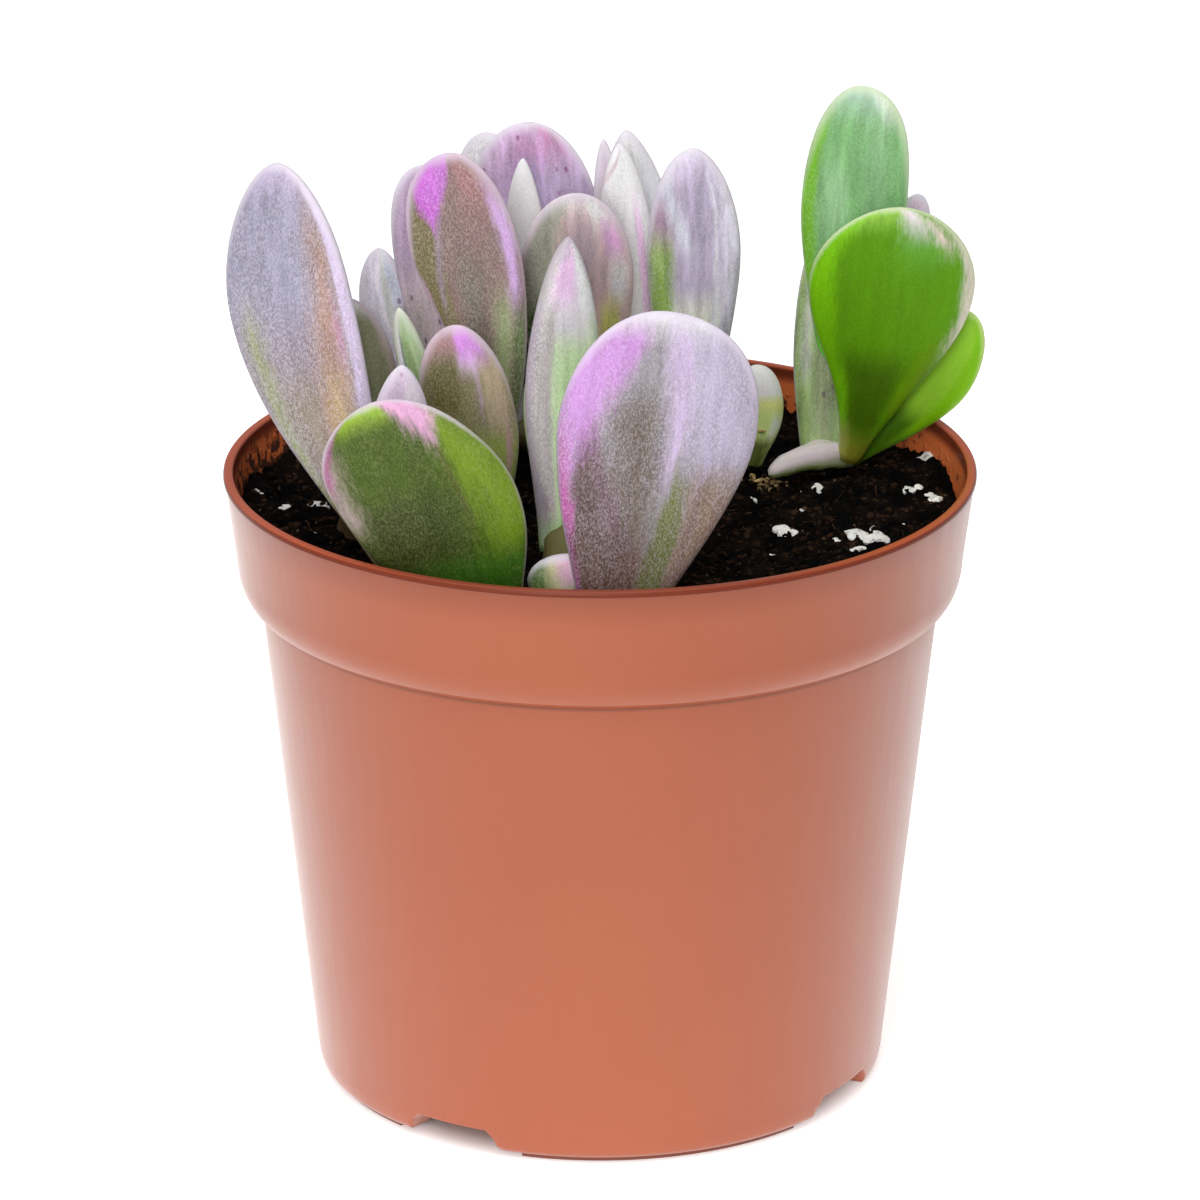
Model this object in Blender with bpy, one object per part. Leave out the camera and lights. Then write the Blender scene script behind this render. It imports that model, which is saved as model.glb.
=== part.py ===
"""A potted trailing jade: a 9 cm plastic nursery pot, its soil and five leafy cuttings.

Lengths are written in millimetres and turned to metres where a mesh is made. +Z is up, the pot stands
on z = 0 about the Z axis, and -Y is the front. Angles are degrees, from the front towards +X.
"""

import math
import random

import bmesh
import bpy
import numpy as np
from mathutils import Matrix, Vector

MM = 0.001

# The pot
RIM_RADIUS = 45.0
POT_HEIGHT = 76.0
WALL = 1.0
BEAD_RADIUS = 0.6
BAND_BOTTOM_RADIUS = 43.55
BAND_BOTTOM = 65.6
LEDGE_RADIUS = 41.25
LEDGE = 60.3
BODY_TOP_RADIUS = 40.7
BODY_TOP = 60.15
BODY_BOTTOM_RADIUS = 34.6
BODY_BOTTOM = 2.4
FLOOR_BOTTOM = 3.4
FLOOR = 4.6
FOOT_BOTTOM = 0.7
PAD_INNER_RADIUS = 30.8
PAD_OUTER_RADIUS = 33.4
NOTCH_ANGLES = (-31.0, 59.0, 149.0, 239.0)
NOTCH_TOP_WIDTH = 9.8
NOTCH_BOTTOM_WIDTH = 12.2
NOTCH_HEIGHT = 3.1
PAD_GAP_WIDTH = 17.2
DRAIN_RADIUS = 3.2
DRAIN_CIRCLE = 23.0
POT_SIDES = 64

# The soil
GAP = 0.3
SOIL_LEVEL = 69.6
SOIL_LUMP = 0.16
SOIL_RINGS = 13
SOIL_SIDES = 44
HOLE_CLEARANCE = 0.8
HOLE_STATIONS = 12
HOLLOWS = (
    ((-16.0, -33.0), 4.6, 7.5), ((-6.0, -34.0), 4.2, 7.0), ((3.0, -35.0), 4.6, 7.0), ((-25.0, -21.0), 1.6, 5.0),
)
BANKS = (((42.0, 12.0), -2.0, 9.0), ((-42.0, 2.0), -1.4, 9.0))
PERLITE = (
    (38.0, 16.5, 1.5), (38.0, 5.2, 1.3), (30.4, -9.8, 1.6), (33.2, -11.3, 1.3), (22.0, -9.5, 1.4),
    (30.6, -15.5, 1.1), (-36.1, 4.3, 1.0), (-33.6, -9.0, 1.3), (-22.0, 30.0, 1.3), (-4.0, 37.0, 1.2),
    (16.0, 34.0, 1.5), (-32.0, 20.0, 1.2),
)

# The leaves and stems
LEAF_STATIONS = 11
LEAF_SIDES = 10
STEM_SIDES = 10
STEM_STATIONS = 16
LEAF_SQUARENESS = 2.3
THINNING = 0.3


def clear_scene():
    for old in list(bpy.data.objects):
        bpy.data.objects.remove(old, do_unlink=True)


def material(name, colour, roughness):
    """A plain Principled material; colour is linear RGB."""
    made = bpy.data.materials.new(name)
    made.use_nodes = True
    shader = made.node_tree.nodes["Principled BSDF"]
    shader.inputs["Base Color"].default_value = (*colour, 1.0)
    shader.inputs["Roughness"].default_value = roughness
    shader.inputs["Metallic"].default_value = 0.0
    return made


def object_from(name, bm, finish=None):
    """Turns a bmesh in millimetres into an object in metres."""
    bmesh.ops.scale(bm, vec=(MM, MM, MM), verts=bm.verts)
    mesh = bpy.data.meshes.new(name)
    bm.to_mesh(mesh)
    bm.free()
    made = bpy.data.objects.new(name, mesh)
    bpy.context.scene.collection.objects.link(made)
    if finish:
        mesh.materials.append(finish)
    return made


def apply_modifiers(thing):
    graph = bpy.context.evaluated_depsgraph_get()
    mesh = bpy.data.meshes.new_from_object(thing.evaluated_get(graph))
    thing.modifiers.clear()
    thing.data = mesh


def combine(thing, others, operation):
    """One Boolean of a thing with all the others, applied; the others are removed."""
    group = bpy.data.collections.new(f"{thing.name}_{operation.lower()}")
    bpy.context.scene.collection.children.link(group)
    for other in others:
        bpy.context.scene.collection.objects.unlink(other)
        group.objects.link(other)
    boolean = thing.modifiers.new(operation.title(), "BOOLEAN")
    boolean.operation = operation
    boolean.operand_type = "COLLECTION"
    boolean.collection = group
    boolean.solver = "EXACT"
    apply_modifiers(thing)
    for other in others:
        bpy.data.objects.remove(other, do_unlink=True)
    bpy.data.collections.remove(group)


def around(angle, radius, z=0.0):
    """A point at an angle from the front towards +X."""
    turn = math.radians(angle)
    return Vector((radius * math.sin(turn), -radius * math.cos(turn), z))


def arc(centre, radius, start, end, steps):
    """Points on an arc in the profile plane, at angles from +r towards +z."""
    angles = np.radians(np.linspace(start, end, steps))
    return [(centre[0] + radius * math.cos(a), centre[1] + radius * math.sin(a)) for a in angles]


# The pot


def pot_profile():
    """The pot's section as (radius, height), from the underside's centre out, up, over the rim and down inside."""
    bead = (RIM_RADIUS - BEAD_RADIUS, POT_HEIGHT - BEAD_RADIUS)
    under = [(0.0, FLOOR_BOTTOM), (PAD_INNER_RADIUS, FLOOR_BOTTOM), (PAD_INNER_RADIUS, 0.0)]
    foot = [(PAD_OUTER_RADIUS, 0.0), (PAD_OUTER_RADIUS, FOOT_BOTTOM), (BODY_BOTTOM_RADIUS - 0.8, FOOT_BOTTOM)]
    corner = [(BODY_BOTTOM_RADIUS - 0.25, FOOT_BOTTOM + 0.5), (BODY_BOTTOM_RADIUS, BODY_BOTTOM)]
    body = [(BODY_TOP_RADIUS, BODY_TOP), (LEDGE_RADIUS, LEDGE)]
    shoulder = [(42.2, 61.1), (43.0, 62.3), (43.4, 63.8), (BAND_BOTTOM_RADIUS, BAND_BOTTOM)]
    band = [(RIM_RADIUS - 0.3, POT_HEIGHT - 2 * BEAD_RADIUS - 0.1)]
    rim = arc(bead, BEAD_RADIUS, -30, 190, 9)
    inside = [
        (RIM_RADIUS - 0.3 - WALL, POT_HEIGHT - 2 * BEAD_RADIUS - 0.3),
        (BAND_BOTTOM_RADIUS - WALL, BAND_BOTTOM),
        (42.35 - WALL, 62.6),
        (BODY_TOP_RADIUS - WALL, BODY_TOP + 0.35),
        (BODY_BOTTOM_RADIUS + 0.45 - WALL, FLOOR + 1.6),
        (BODY_BOTTOM_RADIUS - 0.6 - WALL, FLOOR + 0.2),
        (BODY_BOTTOM_RADIUS - 1.4 - WALL, FLOOR),
    ]
    return under + foot + corner + body + shoulder + band + rim + inside + [(0.0, FLOOR)]


def turned(name, profile, sides, finish=None):
    """Spins a profile that starts and ends on the Z axis into a closed solid."""
    bm = bmesh.new()
    points = [bm.verts.new((r, 0.0, z)) for r, z in profile]
    edges = [bm.edges.new(pair) for pair in zip(points, points[1:])]
    bmesh.ops.spin(
        bm, geom=points + edges, cent=(0, 0, 0), axis=(0, 0, 1), dvec=(0, 0, 0), angle=2 * math.pi, steps=sides
    )
    bmesh.ops.remove_doubles(bm, verts=bm.verts, dist=1e-4)
    bmesh.ops.recalc_face_normals(bm, faces=bm.faces)
    return object_from(name, bm, finish)


def notch_cutter(angle):
    """A prism through the foot ring: a wide low step between two pads, then a notch with sloping sides."""
    step = PAD_GAP_WIDTH / 2
    low, high = NOTCH_BOTTOM_WIDTH / 2, NOTCH_TOP_WIDTH / 2
    above_step = FOOT_BOTTOM + 0.02
    section = [
        (-step, -1.0), (step, -1.0), (step, above_step), (low, above_step), (high + 0.5, NOTCH_HEIGHT - 0.8),
        (high - 0.6, NOTCH_HEIGHT), (0.6 - high, NOTCH_HEIGHT), (-high - 0.5, NOTCH_HEIGHT - 0.8),
        (-low, above_step), (-step, above_step),
    ]
    bm = bmesh.new()
    face = bm.faces.new([bm.verts.new((x, -PAD_INNER_RADIUS + 5.0, z)) for x, z in section])
    pushed = bmesh.ops.extrude_face_region(bm, geom=[face])["geom"]
    bmesh.ops.translate(bm, vec=(0, -12.0, 0), verts=[v for v in pushed if isinstance(v, bmesh.types.BMVert)])
    bmesh.ops.recalc_face_normals(bm, faces=bm.faces)
    bmesh.ops.rotate(bm, cent=(0, 0, 0), matrix=Matrix.Rotation(math.radians(angle), 3, "Z"), verts=bm.verts)
    return object_from("notch_cutter", bm)


def drain_cutter(place):
    bm = bmesh.new()
    bmesh.ops.create_cone(
        bm, cap_ends=True, segments=20, radius1=DRAIN_RADIUS, radius2=DRAIN_RADIUS, depth=FLOOR,
        matrix=Matrix.Translation((place.x, place.y, FLOOR)),
    )
    return object_from("drain_cutter", bm)


def make_pot():
    plastic = material("moulded polypropylene pot", (0.55, 0.16, 0.08), 0.42)
    pot = turned("pot", pot_profile(), POT_SIDES, plastic)
    cutters = [notch_cutter(angle) for angle in NOTCH_ANGLES]
    cutters += [drain_cutter(around(angle, DRAIN_CIRCLE)) for angle in NOTCH_ANGLES]
    cutters.append(drain_cutter(Vector((0, 0, 0))))
    combine(pot, cutters, "DIFFERENCE")
    return pot


# The soil


def soil_height(x, y):
    """The soil's top: a level bed with small lumps, hollows at the front wall and banks at the side walls."""
    lumps = (
        np.sin(0.55 * x + 0.8) * np.cos(0.48 * y - 0.3)
        + np.sin(0.9 * x - 0.7 * y)
        + np.cos(0.35 * x + 0.95 * y + 1.1)
        + 0.8 * np.sin(1.4 * x + 0.4) * np.sin(1.3 * y)
    )
    height = SOIL_LEVEL + 0.03 * y + SOIL_LUMP * lumps
    for (cx, cy), depth, reach in HOLLOWS + BANKS:
        height = height - depth * np.exp(-(((x - cx) ** 2 + (y - cy) ** 2) / reach**2) ** 1.5)
    return height


def soil_body(finish):
    """A polar grid for the lumpy top, closed by the pot's inner shape less a small gap."""
    clear = WALL + GAP + 0.15
    wall = [
        (41.5, 64.8), (40.75, 62.4), (BODY_TOP_RADIUS - clear, BODY_TOP + 0.1),
        (BODY_BOTTOM_RADIUS + 0.45 - clear, FLOOR + 1.9), (BODY_BOTTOM_RADIUS - 1.4 - clear, FLOOR + GAP),
    ]
    top_radius = BAND_BOTTOM_RADIUS - clear
    turns = 2 * math.pi * np.arange(SOIL_SIDES) / SOIL_SIDES
    bm = bmesh.new()
    centre = bm.verts.new((0, 0, float(soil_height(0.0, 0.0))))
    rings = []
    for i in range(1, SOIL_RINGS + 1):
        radius = top_radius * i / SOIL_RINGS
        x, y = radius * np.sin(turns), -radius * np.cos(turns)
        z = np.maximum(soil_height(x, y), 65.6)
        rings.append([bm.verts.new(p) for p in zip(x, y, z)])
    for radius, z in wall:
        rings.append([bm.verts.new((radius * math.sin(t), -radius * math.cos(t), z)) for t in turns])
    for inner, outer in zip(rings, rings[1:]):
        for i in range(SOIL_SIDES):
            j = (i + 1) % SOIL_SIDES
            bm.faces.new((inner[i], outer[i], outer[j], inner[j]))
    for i in range(SOIL_SIDES):
        bm.faces.new((centre, rings[0][i], rings[0][(i + 1) % SOIL_SIDES]))
    bm.faces.new(rings[-1])
    bmesh.ops.recalc_face_normals(bm, faces=bm.faces)
    return object_from("soil", bm, finish)


def perlite_grain(x, y, size, draws):
    """One angular grain, sunk a third into the soil."""
    bm = bmesh.new()
    bmesh.ops.create_icosphere(bm, subdivisions=1, radius=size)
    for v in bm.verts:
        v.co *= draws.uniform(0.75, 1.1)
    bmesh.ops.scale(bm, vec=(1.0, 0.85, 0.7), verts=bm.verts)
    bmesh.ops.rotate(bm, cent=(0, 0, 0), matrix=Matrix.Rotation(draws.uniform(0, 3), 3, "Z"), verts=bm.verts)
    bmesh.ops.translate(bm, vec=(x, y, float(soil_height(x, y)) + 0.2 * size), verts=bm.verts)
    return object_from("perlite_grain", bm)


def hole_cutter(path, radius):
    """A wider copy of a stem: its plain hole, and the groove where it lies on the soil."""
    start, end = Vector(path[0]), Vector(path[-1])
    longer = (start - Vector((0, 0, 1)), *path[1:-1], end + (end - Vector(path[-2])).normalized())
    return closed_rings("hole_cutter", stem_grid(longer, radius + HOLE_CLEARANCE, HOLE_STATIONS), pointed=False)


def make_soil(stems):
    """The soil with its larger perlite grains, and a plain hole for each stem."""
    peat = material("peat potting mix", (0.018, 0.012, 0.009), 0.95)
    soil = soil_body(peat)
    draws = random.Random(9)
    combine(soil, [perlite_grain(x, y, size, draws) for x, y, size in PERLITE], "UNION")
    combine(soil, [hole_cutter(path, radius) for path, radius in stems], "DIFFERENCE")
    return soil


# The plant


def both(value):
    """A value for the left and the right half of a leaf."""
    return value if isinstance(value, tuple) else (value, value)


def half_outline(s, widest, neck, swell, blunt, point):
    """How far a margin stands from the midline at s along the leaf, as a share of its widest.

    It swells from the neck along a quarter sine wave and closes at the tip along a superellipse.
    """
    below = np.clip(s / widest, 0, 1)
    beyond = np.clip((s - widest) / (1 - widest), 0, 1)
    lower = neck + (1 - neck) * np.sin(math.pi / 2 * below**swell)
    return np.where(s < widest, lower, (1 - beyond**blunt) ** point)


def leaf_grid(
    root, tip, width, face=0.0, bow=(0, 0, 0), thick=3.2, widest=0.62, neck=0.35, swell=1.5, blunt=2.0,
    point=0.5, share=0.5, stations=LEAF_STATIONS, sides=LEAF_SIDES,
):
    """A fleshy leaf as rings of points: a quadratic curve from root to tip, with a superellipse across it.

    face turns the broad side from the front towards +X, bow moves the midline's middle, and share is the
    left half's part of the width. widest, neck, swell, blunt and point may differ between the halves.
    """
    root, tip, bow = (np.array(p, float) for p in (root, tip, bow))
    s = 1 - (1 - np.linspace(0, 1, stations)) ** 1.6
    middle = (root + tip) / 2 + 2 * bow
    t = s[:, None]
    line = (1 - t) ** 2 * root + 2 * t * (1 - t) * middle + t**2 * tip
    along = 2 * (1 - t) * (middle - root) + 2 * t * (tip - middle)
    along /= np.linalg.norm(along, axis=1)[:, None]
    turn = math.radians(face)
    across = np.cross(along, (math.sin(turn), -math.cos(turn), 0.0))
    across /= np.linalg.norm(across, axis=1)[:, None]
    out = np.cross(across, along)
    halves = []
    for side, part in enumerate((share, 1 - share)):
        shape = [both(value)[side] for value in (widest, neck, swell, blunt, point)]
        halves.append((width * part * half_outline(s, *shape))[:, None])
    depth = thick / 2 * (1 - THINNING * s) * np.sqrt(1 - s**8)
    depth = np.minimum(depth[:, None], 0.6 * (halves[0] + halves[1]))
    turns = 2 * math.pi * np.arange(sides) / sides
    power = 2 / LEAF_SQUARENESS
    x = (np.sign(np.cos(turns)) * np.abs(np.cos(turns)) ** power)[None, :]
    y = (np.sign(np.sin(turns)) * np.abs(np.sin(turns)) ** power)[None, :]
    x = np.where(x < 0, halves[0] * x, halves[1] * x)
    return line[:, None] + across[:, None] * x[..., None] + out[:, None] * (depth * y)[..., None]


def closed_rings(name, grid, pointed):
    """Joins rings of points into a closed mesh; a pointed one ends in a single point."""
    bm = bmesh.new()
    rings = grid[:-1] if pointed else grid
    rows = [[bm.verts.new(p) for p in ring] for ring in rings]
    count = len(rows[0])
    for a, b in zip(rows, rows[1:]):
        for i in range(count):
            j = (i + 1) % count
            bm.faces.new((a[i], a[j], b[j], b[i]))
    bm.faces.new(list(reversed(rows[0])))
    if pointed:
        end = bm.verts.new(grid[-1].mean(axis=0))
        for i in range(count):
            bm.faces.new((rows[-1][i], rows[-1][(i + 1) % count], end))
    else:
        bm.faces.new(rows[-1])
    bmesh.ops.recalc_face_normals(bm, faces=bm.faces)
    return object_from(name, bm)


def leaf(root, tip, width, **shape):
    return closed_rings("leaf", leaf_grid(root, tip, width, **shape), pointed=True)


def smooth_path(points, steps):
    """A curve through the points, even in length: each stretch is a cubic that matches its neighbours' slopes."""
    p = np.array(points, float)
    p = np.vstack([2 * p[0] - p[1], p, 2 * p[-1] - p[-2]])
    t = np.linspace(0, 1, 12, endpoint=False)[:, None]
    runs = []
    for a, b, c, d in zip(p, p[1:], p[2:], p[3:]):
        runs.append(b + t * (c - a) / 2 + t**2 * (a - 2.5 * b + 2 * c - d / 2) + t**3 * (1.5 * b - 1.5 * c + (d - a) / 2))
    fine = np.vstack([*runs, p[-2]])
    length = np.concatenate([[0], np.cumsum(np.linalg.norm(np.diff(fine, axis=0), axis=1))])
    return np.stack([np.interp(np.linspace(0, length[-1], steps), length, fine[:, k]) for k in range(3)], axis=1)


def stem_grid(points, radius, stations=STEM_STATIONS, sides=STEM_SIDES):
    """A round stem carried along a smooth path, a little thicker where leaves leave it, with a blunt end."""
    line = smooth_path(points, stations)
    along = np.gradient(line, axis=0)
    along /= np.linalg.norm(along, axis=1)[:, None]
    across = np.cross(along, (0.35, 0.9, 0.25))
    across /= np.linalg.norm(across, axis=1)[:, None]
    out = np.cross(across, along)
    s = np.linspace(0, 1, stations)
    swelling = radius * (1 + 0.05 * np.sin(9 * math.pi * s)) * np.where(s > 0.99, 0.75, 1.0)
    turns = 2 * math.pi * np.arange(sides) / sides
    ring = np.cos(turns)[None, :, None] * across[:, None] + np.sin(turns)[None, :, None] * out[:, None]
    return line[:, None] + swelling[:, None, None] * ring


# The left cutting creeps forward along the left side of the pot.
LEFT_STEM = (
    (-29.0, -4.5, 58.0), (-29.0, -4.5, 67.5), (-28.2, -7.5, 72.4), (-26.5, -14.0, 73.2), (-25.0, -20.0, 72.6),
    (-21.0, -27.0, 70.8), (-15.8, -31.2, 69.4),
)
LEFT_STEM_RADIUS = 2.5

# The middle cutting creeps forward behind the left one's leaves.
MIDDLE_STEM = (
    (-18.5, 4.5, 58.0), (-18.5, 4.5, 67.5), (-17.0, 2.0, 72.6), (-14.5, -2.5, 73.4), (-13.6, -8.0, 73.3),
    (-13.6, -13.5, 73.0),
)
MIDDLE_STEM_RADIUS = 2.4

# The front cutting turns forward to the front wall.
FRONT_STEM = (
    (4.5, -12.5, 58.0), (4.5, -12.5, 67.5), (1.6, -14.6, 72.6), (-3.5, -18.6, 73.2), (-4.2, -25.5, 72.0),
    (-1.6, -31.0, 69.8), (2.0, -34.2, 68.8),
)
FRONT_STEM_RADIUS = 2.4

# The back cutting runs across the pot behind the others and ends in a young bud.
BACK_STEM = (
    (-13.0, 25.0, 58.0), (-13.0, 25.0, 67.5), (-10.4, 21.8, 72.6), (-4.5, 16.2, 73.4), (1.5, 13.2, 73.4),
    (8.0, 12.4, 73.4), (14.0, 13.4, 73.2), (19.2, 15.0, 73.0),
)
BACK_STEM_RADIUS = 2.4

# The right cutting lies on the soil with its cut end towards the middle of the pot.
RIGHT_STEM = (
    (28.8, 20.0, 58.0), (28.8, 20.0, 67.0), (29.8, 18.4, 71.4), (29.2, 14.8, 72.6), (25.6, 12.4, 72.8),
    (22.4, 10.6, 72.3), (20.4, 9.4, 71.4),
)
RIGHT_STEM_RADIUS = 2.1


def left_leaves():
    return [
        # the tall leaf at the far left
        leaf((-23.8, -22.5, 70.0), (-37.6, -9.0, 116.2), 16.6, face=-25, bow=(-3.8, 0, -0.6), thick=4.5,
             widest=(0.68, 0.6), neck=(0.1, 0.36), swell=(1.45, 1.3), blunt=(1.8, 2.1), point=(0.6, 0.58),
             share=0.475),
        # the dark leaf behind it
        leaf((-27.0, -9.5, 72.4), (-30.6, -1.5, 97.4), 10.8, face=8, widest=0.6, neck=0.4),
        # the small spotted leaf
        leaf((-23.4, -20.5, 72.4), (-23.0, -19.0, 94.7), 7.0, widest=0.6, neck=0.4, point=0.65),
        # the green leaf at the front left
        leaf((-15.8, -31.0, 67.6), (-26.4, -33.0, 94.6), 20.8, face=-8, bow=(0.5, -1, 0), widest=(0.7, 0.5),
             neck=(0.45, 0.62), swell=1.2, blunt=(2.4, 1.8), point=(0.5, 0.55), share=0.43),
        # turned to the left side, behind the tall one
        leaf((-28.8, -5.5, 71.5), (-38.5, 11.0, 98.0), 10.5, face=120),
    ]


def middle_leaves():
    return [
        # the folded leaf at the left
        leaf((-17.4, 2.6, 72.8), (-26.5, 9.0, 100.3), 6.6, face=-10, bow=(-1.8, 0, 0), widest=0.72, neck=0.3,
             point=0.6),
        # the lavender leaf close behind the big one
        leaf((-16.0, 2.4, 73.0), (-20.8, 7.0, 111.2), 10.2, face=-15, bow=(-1.4, 0, 0), widest=(0.8, 0.68),
             neck=(0.2, 0.35), swell=(1.8, 1.5), blunt=(2.5, 2.0), share=0.42),
        # the big leaf with a magenta streak
        leaf((-13.6, -2.0, 72.4), (-18.3, 1.0, 114.4), 13.0, face=-5, bow=(1.4, 0, 0), widest=(0.74, 0.66),
             neck=(0.1, 0.35), swell=(2.5, 1.3), blunt=(2.8, 2.2)),
        # the slender striped leaf
        leaf((-15.0, -4.6, 73.4), (-23.7, -6.2, 97.6), 3.8, bow=(-1.0, 0, 0), widest=0.64, neck=0.6, point=0.6),
        # the short leaf in front of them
        leaf((-13.8, -13.0, 71.4), (-17.3, -12.0, 97.3), 11.2, bow=(0.4, 0, 0), widest=(0.62, 0.52), neck=0.45,
             swell=1.2),
        # turned to the back
        leaf((-18.0, 3.6, 71.8), (-27.5, 19.0, 88.0), 9.0, face=150),
    ]


def front_leaves():
    return [
        # the narrow leaf that shows its margin
        leaf((-4.6, -19.0, 71.8), (-3.7, -10.0, 107.5), 10.3, face=35, bow=(-0.2, 0, 0), thick=4.5, widest=0.5,
             neck=0.5, point=0.7),
        # the biggest leaf
        leaf((1.4, -34.0, 67.4), (7.4, -27.0, 103.8), 23.0, face=5, bow=(0.9, -1, 0), thick=3.6,
             widest=(0.62, 0.7), neck=(0.38, 0.32), swell=(1.2, 1.3), blunt=(2.0, 2.3), share=0.48),
        # the small leaf at the rim
        leaf((-3.6, -30.6, 68.6), (-5.4, -30.2, 75.2), 7.4, widest=0.6, neck=0.75, blunt=2.4),
        # the sliver of a young leaf
        leaf((-4.6, -17.4, 73.6), (-8.5, -11.0, 91.0), 2.0, bow=(-0.9, 1.2, 0), thick=1.8, widest=0.5, neck=0.6,
             point=0.8),
    ]


def back_leaves():
    return [
        # three broad leaves, from left to right
        leaf((-9.4, 20.6, 72.8), (-13.9, 22.0, 110.9), 10.9, face=-10, widest=0.68),
        leaf((-4.8, 16.2, 73.4), (-9.1, 17.0, 113.6), 15.6, widest=0.68, blunt=(2.3, 2.0)),
        leaf((-1.4, 13.6, 73.0), (-2.8, 3.0, 108.9), 13.8, face=5, bow=(-0.6, -0.7, 0), widest=0.68, neck=0.3,
             swell=1.2),
        # the white pointed leaf between them and the shaded one at its foot
        leaf((-4.6, 15.4, 73.4), (-9.2, 10.5, 111.0), 5.4, bow=(-1.2, -1, 0), thick=2.6, widest=0.6, neck=0.6,
             point=0.66),
        leaf((-5.4, 15.4, 72.6), (-6.7, 9.5, 98.5), 6.2, bow=(-0.6, -0.6, 0), widest=0.5, neck=0.6),
        # the pale young leaves of the tip, from front to back
        leaf((5.2, 12.0, 73.4), (2.3, 10.5, 112.8), 7.4, face=10, bow=(-0.1, 0, 0), widest=0.55, neck=0.5,
             point=0.62),
        leaf((3.4, 13.4, 73.6), (0.4, 14.0, 112.4), 3.8, thick=2.0, widest=0.7, neck=0.5, point=0.66),
        leaf((6.2, 14.0, 73.4), (3.1, 18.0, 112.4), 9.4, bow=(0.4, 0.5, 0), widest=0.6, neck=0.5, point=0.7),
        # the thick lilac leaf at the right of the tip
        leaf((10.7, 11.8, 73.0), (11.1, 9.0, 112.7), 11.3, face=5, bow=(0.3, 0, 0), thick=4.2, widest=0.66,
             neck=0.4, blunt=(2.3, 2.0), point=(0.56, 0.62)),
        # the stubby bud at the stem's end
        leaf((18.0, 14.4, 71.6), (18.9, 14.5, 83.8), 6.6, bow=(0.5, 0, 0), thick=4.2, widest=0.5, neck=0.55,
             blunt=2.2),
        # four leaves turned to the back
        leaf((-10.6, 22.4, 72.0), (-17.0, 32.0, 100.0), 13.0, face=170),
        leaf((-6.4, 18.4, 73.0), (-4.0, 33.0, 97.0), 14.0, face=185),
        leaf((2.6, 14.0, 73.2), (8.0, 31.0, 99.0), 12.5, face=195),
        leaf((9.8, 13.2, 72.8), (12.4, 27.0, 90.0), 9.0, face=200),
    ]


def right_leaves():
    return [
        # the tall green leaf at the back
        leaf((29.8, 16.4, 72.0), (31.5, 16.0, 118.4), 12.7, face=-8, bow=(-0.4, 0, 0), widest=0.68, neck=0.3,
             blunt=(2.2, 3.4), share=0.5),
        # the grey-green spotted leaf at its foot
        leaf((27.2, 14.4, 72.6), (29.0, 21.0, 102.3), 8.0, face=-5, bow=(-0.5, 0, 0), widest=0.5, neck=0.7,
             swell=1.0),
        # the pink tip behind
        leaf((30.2, 18.2, 72.0), (38.7, 21.0, 103.4), 7.2, widest=0.6, neck=0.5),
        # the broad green leaf in front
        leaf((30.2, 13.6, 72.6), (35.2, 5.5, 106.4), 20.0, face=5, bow=(1.4, -1, 0), thick=3.4, widest=0.7,
             neck=0.16, blunt=(2.0, 1.8), point=(0.5, 0.53)),
        # the yellow-green leaf that leans out over the rim
        leaf((30.2, 16.2, 72.2), (44.5, 12.0, 91.4), 9.7, face=-10, bow=(1.0, 0, -1.0), thick=3.0,
             widest=(0.66, 0.62), neck=0.4, share=0.48),
        # turned to the back
        leaf((29.6, 18.4, 72.2), (33.5, 33.0, 99.0), 11.0, face=185),
    ]


def leafy_stem(name, path, radius, leaves, finish):
    """A stem with its leaves sunk into it, fused into one solid."""
    stem = closed_rings(name, stem_grid(path, radius), pointed=False)
    stem.data.materials.append(finish)
    combine(stem, leaves, "UNION")
    return stem


def make_plant():
    lilac = material("fleshy leaf, lilac and silver", (0.42, 0.30, 0.40), 0.5)
    olive = material("fleshy leaf, olive and magenta", (0.30, 0.22, 0.22), 0.5)
    green = material("fleshy leaf, green", (0.12, 0.30, 0.02), 0.45)
    leafy_stem("leafy_stem_left", LEFT_STEM, LEFT_STEM_RADIUS, left_leaves(), lilac)
    leafy_stem("leafy_stem_middle", MIDDLE_STEM, MIDDLE_STEM_RADIUS, middle_leaves(), olive)
    leafy_stem("leafy_stem_front", FRONT_STEM, FRONT_STEM_RADIUS, front_leaves(), lilac)
    leafy_stem("leafy_stem_back", BACK_STEM, BACK_STEM_RADIUS, back_leaves(), lilac)
    leafy_stem("leafy_stem_right", RIGHT_STEM, RIGHT_STEM_RADIUS, right_leaves(), green)


def main():
    clear_scene()
    make_pot()
    make_soil(
        (
            (LEFT_STEM, LEFT_STEM_RADIUS), (MIDDLE_STEM, MIDDLE_STEM_RADIUS), (FRONT_STEM, FRONT_STEM_RADIUS),
            (BACK_STEM, BACK_STEM_RADIUS), (RIGHT_STEM, RIGHT_STEM_RADIUS),
        )
    )
    make_plant()


main()
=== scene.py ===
"""The looks of a potted trailing jade in a 9 cm plastic nursery pot.

Shapes are worked out in millimetres and turned to metres where a mesh is made. +Z is up and -Y is the front.
"""

import math

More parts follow.
